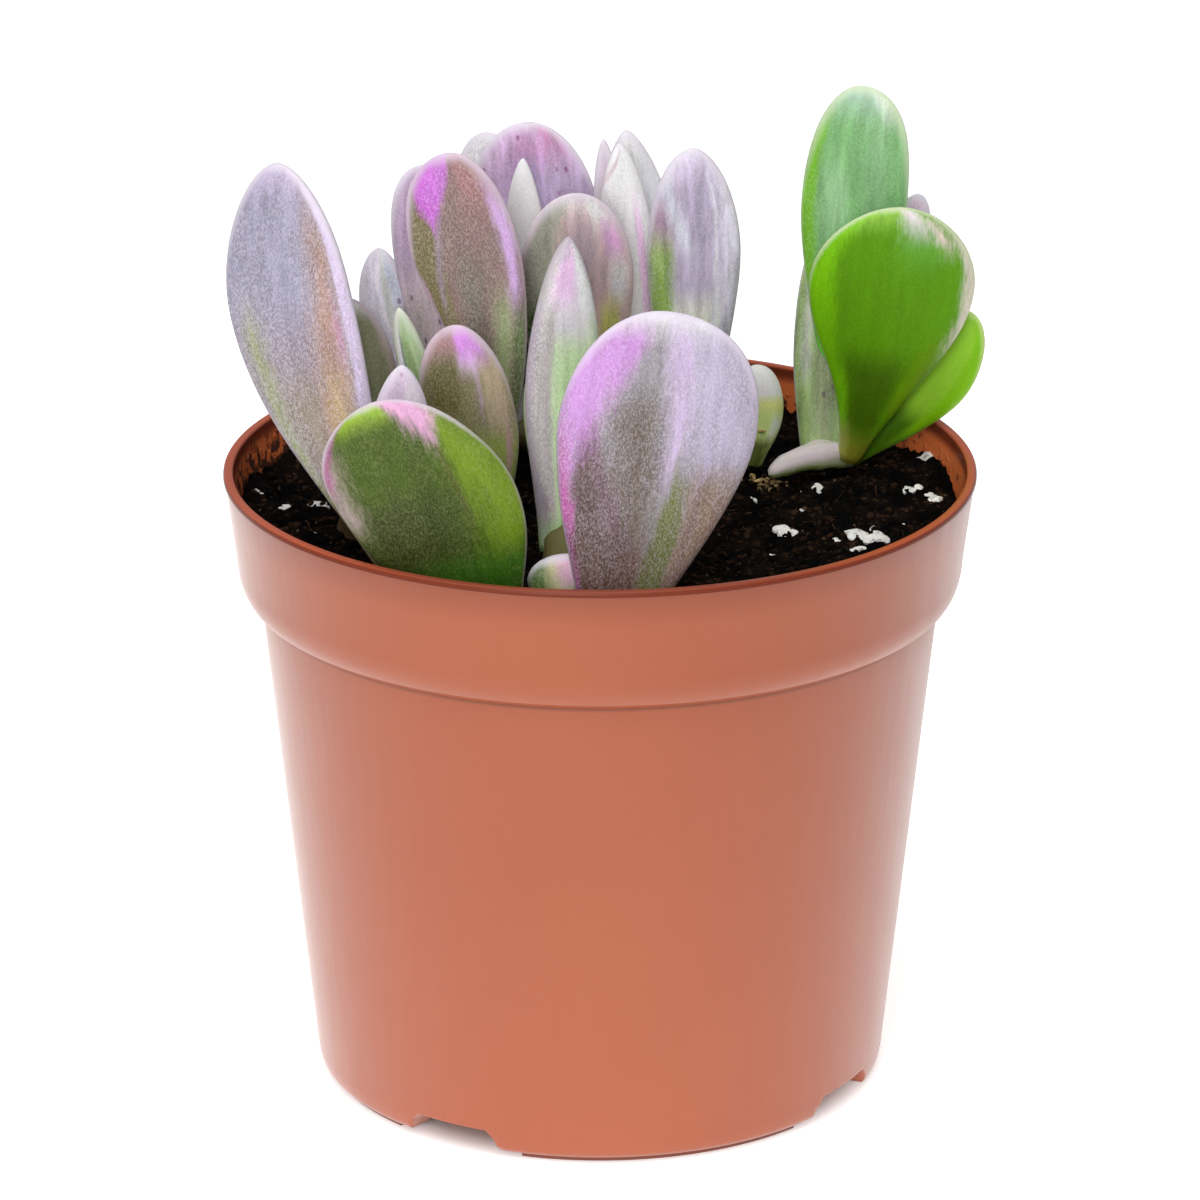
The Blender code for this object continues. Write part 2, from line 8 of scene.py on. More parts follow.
import bmesh
import bpy
import numpy as np
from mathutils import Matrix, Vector


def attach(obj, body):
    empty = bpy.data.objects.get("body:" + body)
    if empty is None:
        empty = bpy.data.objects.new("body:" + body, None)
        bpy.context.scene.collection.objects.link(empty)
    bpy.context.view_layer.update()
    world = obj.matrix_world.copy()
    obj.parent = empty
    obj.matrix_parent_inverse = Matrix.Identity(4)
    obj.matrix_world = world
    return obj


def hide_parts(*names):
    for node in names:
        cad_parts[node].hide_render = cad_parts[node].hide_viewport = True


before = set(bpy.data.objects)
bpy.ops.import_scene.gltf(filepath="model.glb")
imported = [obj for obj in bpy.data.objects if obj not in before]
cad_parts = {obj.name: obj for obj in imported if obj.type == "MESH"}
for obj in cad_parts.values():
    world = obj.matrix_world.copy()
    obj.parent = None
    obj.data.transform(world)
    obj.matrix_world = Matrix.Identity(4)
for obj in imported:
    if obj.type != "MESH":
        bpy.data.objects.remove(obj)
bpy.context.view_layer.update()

MM = 0.001

# The camera, in metres and degrees
CAMERA_PLACE = (0.0, -0.8, 0.349)
CAMERA_DOWN = 19.94
CAMERA_LENS = 212.16

# The studio's light: the walls' and the floor's glow, then each lamp's name, place, aim, size and power
SIDE_LIGHT = 0.05
BACK_LIGHT = 0.37
TOP_LIGHT = 0.36
FLOOR_GLOW = 0.6
LAMPS = (
    ("key softbox", (-0.24, -1.17, 0.44), 0.06, (0.6, 0.6), 8.0),
    ("overhead softbox", (-0.1, -0.4, 1.1), 0.08, (1.2, 1.0), 7.5),
    ("left softbox", (-0.98, 0.69, 0.3), 0.06, (0.5, 0.9), 1.1),
    ("right softbox", (0.98, 0.69, 0.3), 0.06, (0.5, 0.9), 0.25),
)

# The pot's inner wall: its radius at a height, and how much it widens with each millimetre
WALL_RADIUS = 42.5
WALL_HEIGHT = 66.0
WALL_SLOPE = 0.135

# The pot. Its lip and inside have their own finish from LIP_FROM on, with painted shade on the lip and painted light on
# the inner wall. The crease under the band is matt between two heights: a copy of the plastic with almost no bloom, as
# painted shade. A notch changes its height at NOTCH_STEPS from its middle, along a circle of NOTCH_RADIUS.
POT_SIDES = 224
LIP_FROM = 75.2
SHADED_CREASE = (60.1, 61.15)
BLOOM = 0.62
NOTCH_ANGLES = (-31.0, 59.0, 149.0, 239.0)
NOTCH_STEPS = (4.5, 5.3, 6.1, 8.5, 8.6)
NOTCH_HEIGHT = 3.3
NOTCH_RADIUS = 33.0
PAD_INSIDE = 30.0
DRAIN_RADIUS = 3.2
DRAIN_CIRCLE = 23.0
DRAIN_SIDES = 48
DRILL_ENDS = (2.0, 8.0)
SHARP_FROM = 42.0

# The soil: its level, its grid, the radius and height of each row of points at its side, and the place, depth and reach
# of each hollow and bank
SOIL_LEVEL = 69.6
SOIL_LOWEST = 64.9
SOIL_REACH = 41.0
SOIL_STEPS = 281
SOIL_ROWS = ((41.5, 64.6), (40.75, 62.4), (39.25, 60.0), (33.6, 6.5), (31.7, 4.9))
CRUMBS = 8000
FIBRES = 300
HOLLOWS = (((-16.0, -33.0), 4.6, 7.5), ((-6.0, -34.0), 4.2, 7.0), ((3.0, -35.0), 4.6, 7.0), ((-25.0, -21.0), 1.6, 5.0))
BANKS = (((42.0, 12.0), -2.0, 9.0), ((-42.0, 2.0), -1.4, 9.0))

# The leaves
LEAF_STATIONS = 60
LEAF_SIDES = 40
LEAF_SQUARENESS = 2.3
THINNING = 0.3

# Settings that many nodes share
SMOOTH = {"interpolation_type": "SMOOTHSTEP"}
COLOUR = {"data_type": "RGBA"}
TIMES = {"operation": "MULTIPLY"}
TIMES_PLUS = {"operation": "MULTIPLY_ADD"}


def linear(code):
    """Turns an sRGB hex code into linear RGBA."""
    parts = [int(code[i : i + 2], 16) / 255 for i in (1, 3, 5)]
    return (*[p / 12.92 if p < 0.04045 else ((p + 0.055) / 1.055) ** 2.4 for p in parts], 1.0)


def wire(tree, node, inputs):
    """Sets a node's sockets, by name or in order: to a link, another node's result, a hex colour or a value."""
    for name, value in inputs.items() if isinstance(inputs, dict) else enumerate(inputs):
        if isinstance(value, bpy.types.Node):
            value = value.outputs[2 if value.bl_idname == "ShaderNodeMix" else 0]
        if isinstance(value, bpy.types.NodeSocket):
            tree.links.new(value, node.inputs[name])
        else:
            node.inputs[name].default_value = linear(value) if isinstance(value, str) else value


def add(tree, kind, inputs=(), **settings):
    """Adds a node to a tree, with its settings and its inputs."""
    made = tree.nodes.new("ShaderNode" + kind)
    for name, value in settings.items():
        setattr(made, name, value)
    wire(tree, made, inputs)
    return made


def new_material(name):
    """A material with its node tree and its shader."""
    made = bpy.data.materials.new(name)
    made.use_nodes = True
    return made, made.node_tree, made.node_tree.nodes["Principled BSDF"]


def new_group(name, colours, numbers, results):
    """A node group with its input sockets and its output node. The result named Colour is a colour."""
    group = bpy.data.node_groups.new(name, "ShaderNodeTree")
    for way, labels in (("INPUT", colours + numbers), ("OUTPUT", results)):
        for label in labels:
            kind = "NodeSocketColor" if label in (*colours, "Colour") else "NodeSocketFloat"
            group.interface.new_socket(label, in_out=way, socket_type=kind)
    return group, group.nodes.new("NodeGroupInput").outputs, group.nodes.new("NodeGroupOutput")


# Groups that the leaf materials share


def make_band_group():
    """A lengthwise band of colour in a leaf, where one line of its cells lacks green or makes red.

    The band's middle and half width run straight from root to tip. Its edges are as ragged as the grain says.
    """
    group, given, result = new_group("lengthwise band", ("Under", "Colour"), (
        "Across", "Along", "Ragged", "At root", "At tip", "Half at root", "Half at tip", "From", "To", "Soft",
    ), ("Colour",))
    place = add(group, "MapRange", {0: given["Along"], 3: given["At root"], 4: given["At tip"]})
    half = add(group, "MapRange", {0: given["Along"], 3: given["Half at root"], 4: given["Half at tip"]})
    away = add(group, "Math", (given["Across"], place), operation="SUBTRACT")
    away = add(group, "Math", (away,), operation="ABSOLUTE")
    inside = add(group, "Math", (half, away), operation="SUBTRACT")
    ragged = add(group, "Math", (given["Ragged"], given["Soft"], inside), **TIMES_PLUS)
    low = add(group, "Math", (given["Soft"], -1.0), **TIMES)
    beside = add(group, "MapRange", (ragged, low, given["Soft"]), **SMOOTH)
    above = add(group, "Math", (given["Along"], given["From"]), operation="SUBTRACT")
    below = add(group, "Math", (given["To"], given["Along"]), operation="SUBTRACT")
    ends = add(group, "Math", (above, below), operation="MINIMUM")
    ends = add(group, "Math", (given["Ragged"], 0.02, ends), **TIMES_PLUS)
    between = add(group, "MapRange", (ends, -0.08, 0.08), **SMOOTH)
    share = add(group, "Math", (beside, between), **TIMES)
    wire(group, result, (add(group, "Mix", {0: share, 6: given["Under"], 7: given["Colour"]}, **COLOUR),))
    return group


def make_place_group():
    """Where a point lies in its leaf: across and along from 0 to 1, millimetres to the margin, and ragged noise."""
    group, _, result = new_group("place in the leaf", (), (), ("Across", "Along", "Rim", "Ragged"))
    place = add(group, "Attribute", attribute_name="place").outputs["Vector"]
    across, along, rim = add(group, "SeparateXYZ", (place,)).outputs
    grain = add(group, "Attribute", attribute_name="grain").outputs["Vector"]
    stretched = add(group, "Mapping", {"Vector": grain, "Scale": (1.2, 0.26, 1.2)})
    drift = add(group, "TexNoise", {"Vector": stretched, "Scale": 0.35, "Detail": 1.0})
    drift = add(group, "MapRange", {0: drift, 3: -0.05, 4: 0.05})
    across = add(group, "Math", (across, drift), operation="ADD")
    ragged = add(group, "TexNoise", {"Vector": stretched, "Scale": 2.2, "Detail": 3.0})
    ragged = add(group, "MapRange", (ragged, 0.3, 0.7, -0.35, 0.35))
    wire(group, result, (across, along, rim, ragged))
    return group


def make_scurf_group():
    """Silvery scurf over the leaf's colour: short pale flecks along the leaf, denser in patches and near the margin.

    It also lays the pale rim, partly the leaf's own pale margin and partly a painted highlight on its edge, wider and
    whiter towards the tip as a painted highlight on the leaf's top. It lays small dark spots where asked. Height
    follows the flecks.
    """
    group, given, result = new_group("scurf and rim", ("Under", "Silver", "Margin", "Spot"), (
        "Scurf", "Rim width", "Rim strength", "Tip highlight", "Spots", "Rim", "Along", "Mottle",
    ), ("Colour", "Height", "Flecks"))
    grain = add(group, "Attribute", attribute_name="grain").outputs["Vector"]
    # the flecks
    fine = add(group, "Mapping", {"Vector": grain, "Scale": (6.0, 3.0, 4.0)})
    flecks = {"Vector": fine, "Scale": 1.0, "Detail": 2.5, "Roughness": 0.6, "Distortion": 0.7}
    flecks = add(group, "TexNoise", flecks)
    sharp = add(group, "MapRange", (flecks, 0.42, 0.64), **SMOOTH)
    wide = add(group, "Mapping", {"Vector": grain, "Scale": (0.34, 0.12, 0.34)})
    dense = add(group, "TexNoise", {"Vector": wide, "Scale": 1.0, "Detail": 2.0})
    dense = add(group, "MapRange", (dense, 0.3, 0.65, 0.55, 1.1))
    nearer = add(group, "MapRange", (given["Rim"], 0.0, 3.0, 1.35, 1.0))
    thinner = add(group, "MapRange", (given["Along"], 0.0, 0.4, 0.6, 1.0))
    for factor in (nearer, given["Scurf"], thinner):
        dense = add(group, "Math", (dense, factor), **TIMES)
    cover = add(group, "Math", (sharp, dense), **TIMES, use_clamp=True)
    # the darker ground between them
    gap = add(group, "MapRange", {0: dense, 3: 1.0, 4: 0.6})
    darker = add(group, "MapRange", {0: sharp, 3: gap, 4: 1.08})
    streaks = add(group, "Mapping", {"Vector": grain, "Scale": (0.9, 0.14, 0.9)})
    streaks = add(group, "TexNoise", {"Vector": streaks, "Scale": 1.0, "Detail": 3.0, "Distortion": 0.4})
    streaks = add(group, "MapRange", (streaks, 0.3, 0.7, -1.0, 1.0))
    streaks = add(group, "Math", (streaks, given["Mottle"], 1.0), **TIMES_PLUS)
    darker = add(group, "Math", (darker, streaks), **TIMES)
    body = add(group, "Mix", {0: 1.0, 6: given["Under"], 7: darker}, **COLOUR, blend_type="MULTIPLY")
    haze = add(group, "Math", (dense, 0.12), **TIMES, use_clamp=True)
    silver = add(group, "Mix", {0: 0.85, 6: given["Under"], 7: given["Silver"]}, **COLOUR, blend_type="LIGHTEN")
    # the spots
    cells = add(group, "Mapping", {"Vector": grain, "Scale": (0.9, 0.5, 0.9)})
    cells = add(group, "TexVoronoi", {"Vector": cells, "Scale": 1.0})
    dots = add(group, "MapRange", (cells, 0.28, 0.12), **SMOOTH)
    chance = add(group, "SeparateXYZ", (cells.outputs["Color"],))
    chance = add(group, "Math", (chance, given["Spots"]), operation="LESS_THAN")
    for factor in (chance, 0.75):
        dots = add(group, "Math", (dots, factor), **TIMES)
    # the rim: partly the pale margin, partly painted highlight, wider and whiter towards the tip as painted highlight
    uneven = add(group, "MapRange", (flecks, 0.3, 0.7, -0.25, 0.25))
    tip_highlight = add(group, "MapRange", (given["Along"], 0.62, 1.0), **SMOOTH)
    width = add(group, "Math", (tip_highlight, given["Tip highlight"], given["Rim width"]), **TIMES_PLUS)
    depth = add(group, "Math", (uneven, width, given["Rim"]), **TIMES_PLUS)
    rim = add(group, "MapRange", (depth, width, 0.0), **SMOOTH)
    strong = add(group, "MapRange", {0: tip_highlight, 3: given["Rim strength"], 4: 0.9})
    rim = add(group, "Math", (rim, strong), **TIMES)
    for share, colour in ((haze, silver), (cover, silver), (dots, given["Spot"]), (rim, given["Margin"])):
        body = add(group, "Mix", {0: share, 6: body, 7: colour}, **COLOUR)
    wire(group, result, (body, sharp, cover))
    return group


BAND = make_band_group()
PLACE = make_place_group()
SCURF = make_scurf_group()


def both(value):
    """A pair as it is, or one value twice."""
    return value if isinstance(value, tuple) else (value, value)


def leaf_skin(
    name, ground, bands, scurf, silver="#d8cfdc", margin="#e6dfea", rim=0.35, strength=0.45, tip_highlight=1.3, spots=0.0,
    spot="#8a5a7a", mottle=0.15, gloss=0.42, shine=0.4,
):
    """A fleshy leaf's skin: ground colour, lengthwise bands, silvery scurf and a pale rim that is partly painted
    highlight, most of all at the tip. A little light gets in.
    """
    skin, tree, shader = new_material("leaf skin, " + name)
    across, along, edge, ragged = add(tree, "Group", node_tree=PLACE).outputs
    colour = ground
    for code, places, halves, reach, soft in bands:
        marks = [mark / 100 for mark in (*both(places), *both(halves), *reach, soft)]
        colour = add(tree, "Group", (colour, code, across, along, ragged, *marks), node_tree=BAND)
    given = (colour, silver, margin, spot, scurf, rim, strength, tip_highlight, spots, edge, along, mottle)
    scurfy = add(tree, "Group", given, node_tree=SCURF)
    wire(tree, shader, {
        "Base Color": scurfy, "Specular IOR Level": shine, "Subsurface Weight": 0.18,
        "Subsurface Radius": (1.0, 0.7, 0.45), "Subsurface Scale": 0.0016,
        "Roughness": add(tree, "MapRange", {0: scurfy.outputs["Flecks"], 3: gloss, 4: gloss + 0.18}),
        "Normal": add(tree, "Bump", {"Strength": 0.35, "Distance": 0.00005, "Height": scurfy.outputs["Height"]}),
    })
    return skin


# Every leaf's skin: its ground colour, its looks, and its bands as (colour, place across, half width, reach along,
# softness), in hundredths of the leaf. In a pair the first holds at the root and the second at the tip. A pale band
# across the whole leaf from about 90 on to the tip is a painted highlight on the leaf's top. The palest codes, at f7 in
# a channel, are partly painted light: pale leaves brightened beyond their own colour where their neighbours shade them.
SKINS = {
    "tall lavender": ("#a0909e", dict(scurf=0.62, silver="#cdc6d4", mottle=0.22), (
        ("#a09cb3", (40, 35), 45, (62, 120), 14), ("#988a74", (45, 50), (25, 20), (10, 50), 14),
        ("#9ca760", (12, 26), (8, 6), (15, 66), 12), ("#877f3c", 30, (60, 50), (-20, 20), 10),
        ("#af856b", (66.7, 90.4), (19, 3), (24, 86), 10), ("#c3a369", (69, 90.4), (14, 2), (20, 48), 8),
        ("#dc8fc4", 88, 0.6, (50, 64), 6), ("#dbcae8", 96.5, (5, 3.5), (-20, 120), 2),
        ("#dcc5eb", 50, 60, (96, 120), 10),
    )),
    "dark behind": ("#7b7f58", dict(scurf=0.42, silver="#a39a94", margin="#b7aab8"), (
        ("#33501a", 40, (35, 20), (-20, 60), 10), ("#f7f7f7", 50, 60, (95, 120), 10),
        ("#9e9285", 96, (5, 6), (30, 120), 3),
    )),
    "small spotted": ("#e8ceea", dict(scurf=0.4, silver="#e2d8e2", spots=0.45, spot="#9c4a84"), (
        ("#dcc4e0", 35, 10, (20, 120), 6), ("#f7ecf7", 75, 16, (20, 90), 10),
    )),
    "front green": (
        "#354f04", dict(scurf=0.4, silver="#8e9664", margin="#d8ccd6", rim=0.3, strength=0.4, tip_highlight=0.7, shine=0.2), (
            ("#303804", 35, (30, 26), (24, 74), 22), ("#41580b", (35, 38), (30, 28), (60, 96), 14),
            ("#bbe341", 35, 35, (95.5, 120), 10), ("#b29f9b", 5, (8, 6), (52, 84), 11),
            ("#ae5b95", (2, 3), (2, 3), (72, 96), 4), ("#769605", (93, 90), 12, (10, 120), 13),
            ("#51511f", (70, 79), (1, 1.6), (42, 82), 3), ("#e3add3", (30, 90), (-86, 24), (70, 120), 10),
            ("#2f6904", 60, 50, (-20, 28), 16),
        ),
    ),
    "left folded": ("#efe8f7", dict(scurf=0.45, silver="#d9d3de", spots=0.35, spot="#6d5474", mottle=0.3), (
        ("#5d5646", 90, (25, 20), (10, 74), 5), ("#dce1f2", 90, 25, (76, 120), 6),
        ("#dbddd8", (64, 60), (5, 6), (-20, 120), 4),
    )),
    "close lavender": ("#ddc9d5", dict(scurf=0.45, silver="#cbc0cc", spots=0.25, spot="#6e5064", mottle=0.25), (
        ("#dacbce", 30, (30, 20), (-20, 60), 12), ("#c2a6c5", (10, 20), (12, 30), (66, 120), 12),
    )),
    "magenta wedge": ("#906e6f", dict(scurf=0.55, silver="#c6b9aa", margin="#dccadc"), (
        ("#7a713f", (20, 12), (10, 14), (38, 100), 6), ("#a86a72", (80, 78), 20, (84, 120), 12),
        ("#767267", 50, (14, 12), (30, 70), 14), ("#a7ba80", 78, 9, (28, 58), 8),
        ("#e1baee", (94, 88), (4, 7.5), (55, 88), 6), ("#567838", 95, (8, 6), (-10, 54), 5),
        ("#a793ad", (-16.5, 42), (0, 3), (56, 86), 5), ("#d866e1", (46, 22), (-112, 30), (70, 120), 5),
        ("#cfaec4", 0, 4, (40, 95), 2),
    )),
    "slender striped": ("#afcb95", dict(scurf=0.25, silver="#dbe2d0", margin="#e6ebdc", rim=0.3), (
        ("#8eae6e", (50, 45), (12, 10), (35, 85), 8), ("#f7f7f7", (10, 20), 10, (-20, 120), 5),
        ("#808b8d", (24, 30), (2, 3), (10, 95), 3), ("#b5da9d", (72, 68), 2, (20, 95), 3),
    )),
    "short front": ("#8c885c", dict(scurf=0.42, silver="#c0b0a4", margin="#dcc8d8"), (
        ("#b6848b", (25, 30), (30, 35), (86, 120), 12), ("#616016", 30, (20, 18), (58, 86), 10),
        ("#bdaa8c", 84, (14, 12), (50, 84), 8), ("#a1b749", 60, (50, 40), (-20, 48), 14),
        ("#b8a1ae", 66, (1.5, 3), (58, 86), 3), ("#f5d8f7", 62, (11, 13), (80, 90), 7),
        ("#e998f7", (60, 72), (0, 24), (85, 120), 7), ("#d4a3ae", (90, 89), 3, (28, 52), 4),
    )),
    "narrow margin": ("#d2e9b9", dict(scurf=0.5, silver="#d0d2cc", margin="#bdb0be"), (
        ("#a898a8", 0, 6, (-20, 80), 3), ("#f7f7f7", 60, 50, (72, 120), 14), ("#f7d0f7", 33, (20, 26), (78, 98), 12),
        ("#e6dfe9", 45, 30, (69, 76), 14), ("#c0b5b7", (11, 13), (9, 10), (3, 77), 6),
        ("#cdf7a2", (55, 50), (20, 15), (0, 60), 14), ("#89d225", 50, 60, (-20, 8), 10), ("#7a5474", 5, 3, (11, 18), 3),
    )),
    "biggest": ("#969195", dict(scurf=0.45, silver="#d2c8d6", margin="#e4d8ea", rim=0.3, strength=0.3, tip_highlight=1.7), (
        ("#645743", 42, (16, 12), (28, 74), 14), ("#bbb1c9", 82, 20, (55, 120), 14),
        ("#896e50", 88, (16, 14), (-20, 52), 10), ("#482304", (20, 9), (21.6, -10), (-20, 62), 4),
        ("#623c45", (55.7, -11), 5.5, (10, 70), 5), ("#c652ab", 4, (3.5, 3), (4, 66), 3),
        ("#ce8cda", (0, 14), (-31, 32), (42, 97), 10), ("#cfb8dd", (63, 62), (-2.5, 7.5), (48, 120), 6),
        ("#626d04", (72, 62), (16, -12), (-20, 60), 3.5), ("#b8accc", (80, 77), 1.2, (48, 74), 2),
        ("#7d614a", (96, 62), 2, (12, 50), 3), ("#f7f7f7", 50, 60, (96, 120), 10), ("#563307", 32, 30, (-20, 30), 10),
    )),
    "small at the rim": ("#c6c88c", dict(scurf=0.25, silver="#e2dcd8"), (
        ("#4e7613", 10, 20, (-20, 120), 14), ("#f7c8e3", (85, 80), (28, 30), (45, 120), 16),
    )),
    "young sliver": ("#43921f", dict(scurf=0.08, margin="#c6d8ae", rim=0.2), (("#a3c880", 10, 20, (-20, 120), 10),)),
    "far lavender": ("#f7f7f7", dict(scurf=0.5, silver="#d8d2de"), (("#9c90aa", 60, 20, (20, 90), 12),)),
    "pink purple": ("#dfc2e6", dict(scurf=0.42, silver="#c8b6ca", spots=0.3, spot="#8c5078", mottle=0.35), (
        ("#c1abce", 80, 20, (50, 120), 14), ("#e4c5e7", (4, 6), (14, 20), (30, 120), 10),
        ("#c282b7", 50, (16, 18), (86, 97), 12), ("#d68cbe", (86, 84), (10, 14), (90, 120), 10),
        ("#dccef5", (45, 48), 10, (66, 88), 16),
    )),
    "brown pink": ("#ebcccb", dict(scurf=0.48, silver="#c3b6ae", margin="#dccfda", mottle=0.22), (
        ("#9fa391", (12, 14), 20, (20, 100), 12), ("#325d04", (30, 20), (40, 25), (-20, 60), 16),
        ("#cdb6bf", 55, 15, (68, 95), 12), ("#f7f7f7", 80, 13, (88, 100), 8), ("#f7bfef", 86, 10, (77, 89), 6),
        ("#f7f7f7", 88, 9, (60, 75), 6), ("#ebec72", 80, 9, (46, 59), 6), ("#f7f7f7", 50, 60, (97.2, 120), 10),
    )),
    "white pointed": ("#f7f7f7", dict(scurf=0.2, silver="#efeeec", margin="#f2f0f0", mottle=0.03), (
        ("#c0c0be", 50, 30, (-20, 55), 12), ("#b4bc9a", 50, 50, (-20, 40), 12),
    )),
    "shaded foot": ("#2c4c14", dict(scurf=0.15, silver="#7f8a70", margin="#6f7a60", rim=0.3), (
        ("#475a30", 20, 10, (20, 120), 10),
    )),
    "pale young": ("#f7f7f7", dict(scurf=0.35, silver="#f0eef0", margin="#f2eef0"), (
        ("#f7f7f7", 30, 20, (40, 80), 12), ("#9d506f", (-413, 53), 7, (82, 97), 5),
        ("#f7cef2", 73, (8, 7), (40, 79), 3),
    )),
    "young tip": ("#d5cacf", dict(scurf=0.3, silver="#ebe5ea"), (("#cab2c8", 40, 50, (88, 120), 10),)),
    "pale behind": ("#f0f2f7", dict(scurf=0.4, silver="#dad7e0", mottle=0.25), (
        ("#93a67a", 15, 20, (30, 82), 12), ("#f7f7f7", 50, 50, (90, 120), 12),
    )),
    "thick lilac": ("#c7bad3", dict(scurf=0.45, silver="#c4bac8", mottle=0.35), (
        ("#f4f7e4", 50, 50, (-20, 52), 14), ("#9bc442", 12, (14, 12), (38, 76), 8), ("#bc97b1", 15, 12, (72, 86), 8),
        ("#e6e2f1", 90, 10, (20, 100), 6), ("#e7e6f0", 73, 2.5, (40, 93), 4), ("#dddeea", (147, -5), 8, (68, 98), 9),
        ("#eddef5", 50, 60, (94, 120), 10),
    )),
    "stubby bud": ("#f7f7f7", dict(scurf=0.06, silver="#f0f0ee", margin="#efeee8", rim=0.3, gloss=0.3, mottle=0.03), (
        ("#d8ef94", 50, 70, (-20, 66), 12), ("#f4f797", 85, 30, (58, 68), 10), ("#eef7e6", 88, 8, (30, 50), 8),
        ("#525e04", 40, 50, (-20, 28), 14),
    )),
    "tall green": ("#82bc77", dict(scurf=0.24, silver="#b3ceaa", margin="#d2e2c0", rim=0.35, shine=0.3, mottle=0.2), (
        ("#7ac004", 4, (10, 9), (-20, 96), 6), ("#a7d4a0", 32, 10, (60, 78), 10), ("#90bf8a", 70, (8, 9), (58, 95), 12),
        ("#bbd5c9", 50, 50, (95.5, 120), 10), ("#e9f1e2", 85, (8, 10), (94, 99), 7), ("#5bf004", 50, 60, (-20, 30), 16),
    )),
    "grey spotted": ("#9cbb6c", dict(scurf=0.4, silver="#c6cabc", spots=0.3, spot="#5f4a58", mottle=0.4), (
        ("#a0bb76", 60, (40, 30), (-20, 30), 14), ("#c0c6b4", 20, 8, (30, 100), 8),
        ("#6e801a", (62, 60), 5, (22, 42), 8), ("#90996c", (48, 50), (10, 16), (5, 62), 12),
    )),
    "pink tip": ("#f7d6f7", dict(scurf=0.35, silver="#e2cede"), ()),
    "broad green": (
        "#5c9707", dict(
            scurf=0.08, silver="#94bc50", margin="#d0dcb4", rim=0.3, strength=0.5, tip_highlight=0.6, mottle=0.08, gloss=0.4,
            shine=0.12,
        ), (
            ("#456b04", 45, 30, (10, 42), 18), ("#898628", 50, 50, (-20, 9), 12), ("#7cc509", 6, 8, (10, 100), 8),
            ("#a5da5b", 40, 50, (96, 120), 10), ("#699304", 88, 8, (20, 50), 8),
            ("#68a938", (66, 70), (10, 16), (80, 93), 14), ("#f1e3ed", (50, 74), (0, 13), (92, 120), 12),
            ("#f7d6dc", (84, 87), (2, 4), (86, 93), 10), ("#d2ccbc", 100, (5, 7), (48, 92), 5),
            ("#a3a44f", 0, (30, 10), (-20, 12), 10),
        ),
    ),
    "leaning yellow green": (
        "#8bc12d", dict(
            scurf=0.05, silver="#a0c45c", margin="#c2da86", rim=0.3, gloss=0.36, shine=0.2, mottle=0.08, strength=0.4,
            tip_highlight=0.6,
        ), (
            ("#457104", 50, (50, 40), (-20, 40), 16), ("#7bbb04", 90, 8, (30, 120), 6),
        ),
    ),
    "turned back": ("#8a8480", dict(scurf=0.55, silver="#c6beca"), (
        ("#6e7a42", 40, 30, (-20, 50), 16), ("#ae86ba", (90, 85), (8, 12), (30, 120), 6),
        ("#9c8ca6", 50, 30, (60, 120), 16),
    )),
}


# Shapes


def circle(count):
    """Even angles round a circle."""
    return math.tau * np.arange(count) / count


def half_outline(s, widest, neck, swell, blunt, point):
    """How far a margin stands from the midline at s along the leaf, as a share of its widest.

    It swells from the neck along a quarter sine wave and closes at the tip along a superellipse.
    """
    below = np.clip(s / widest, 0, 1)
    beyond = np.clip((s - widest) / (1 - widest), 0, 1)
    lower = neck + (1 - neck) * np.sin(math.pi / 2 * below**swell)
    return np.where(s < widest, lower, (1 - beyond**blunt) ** point)


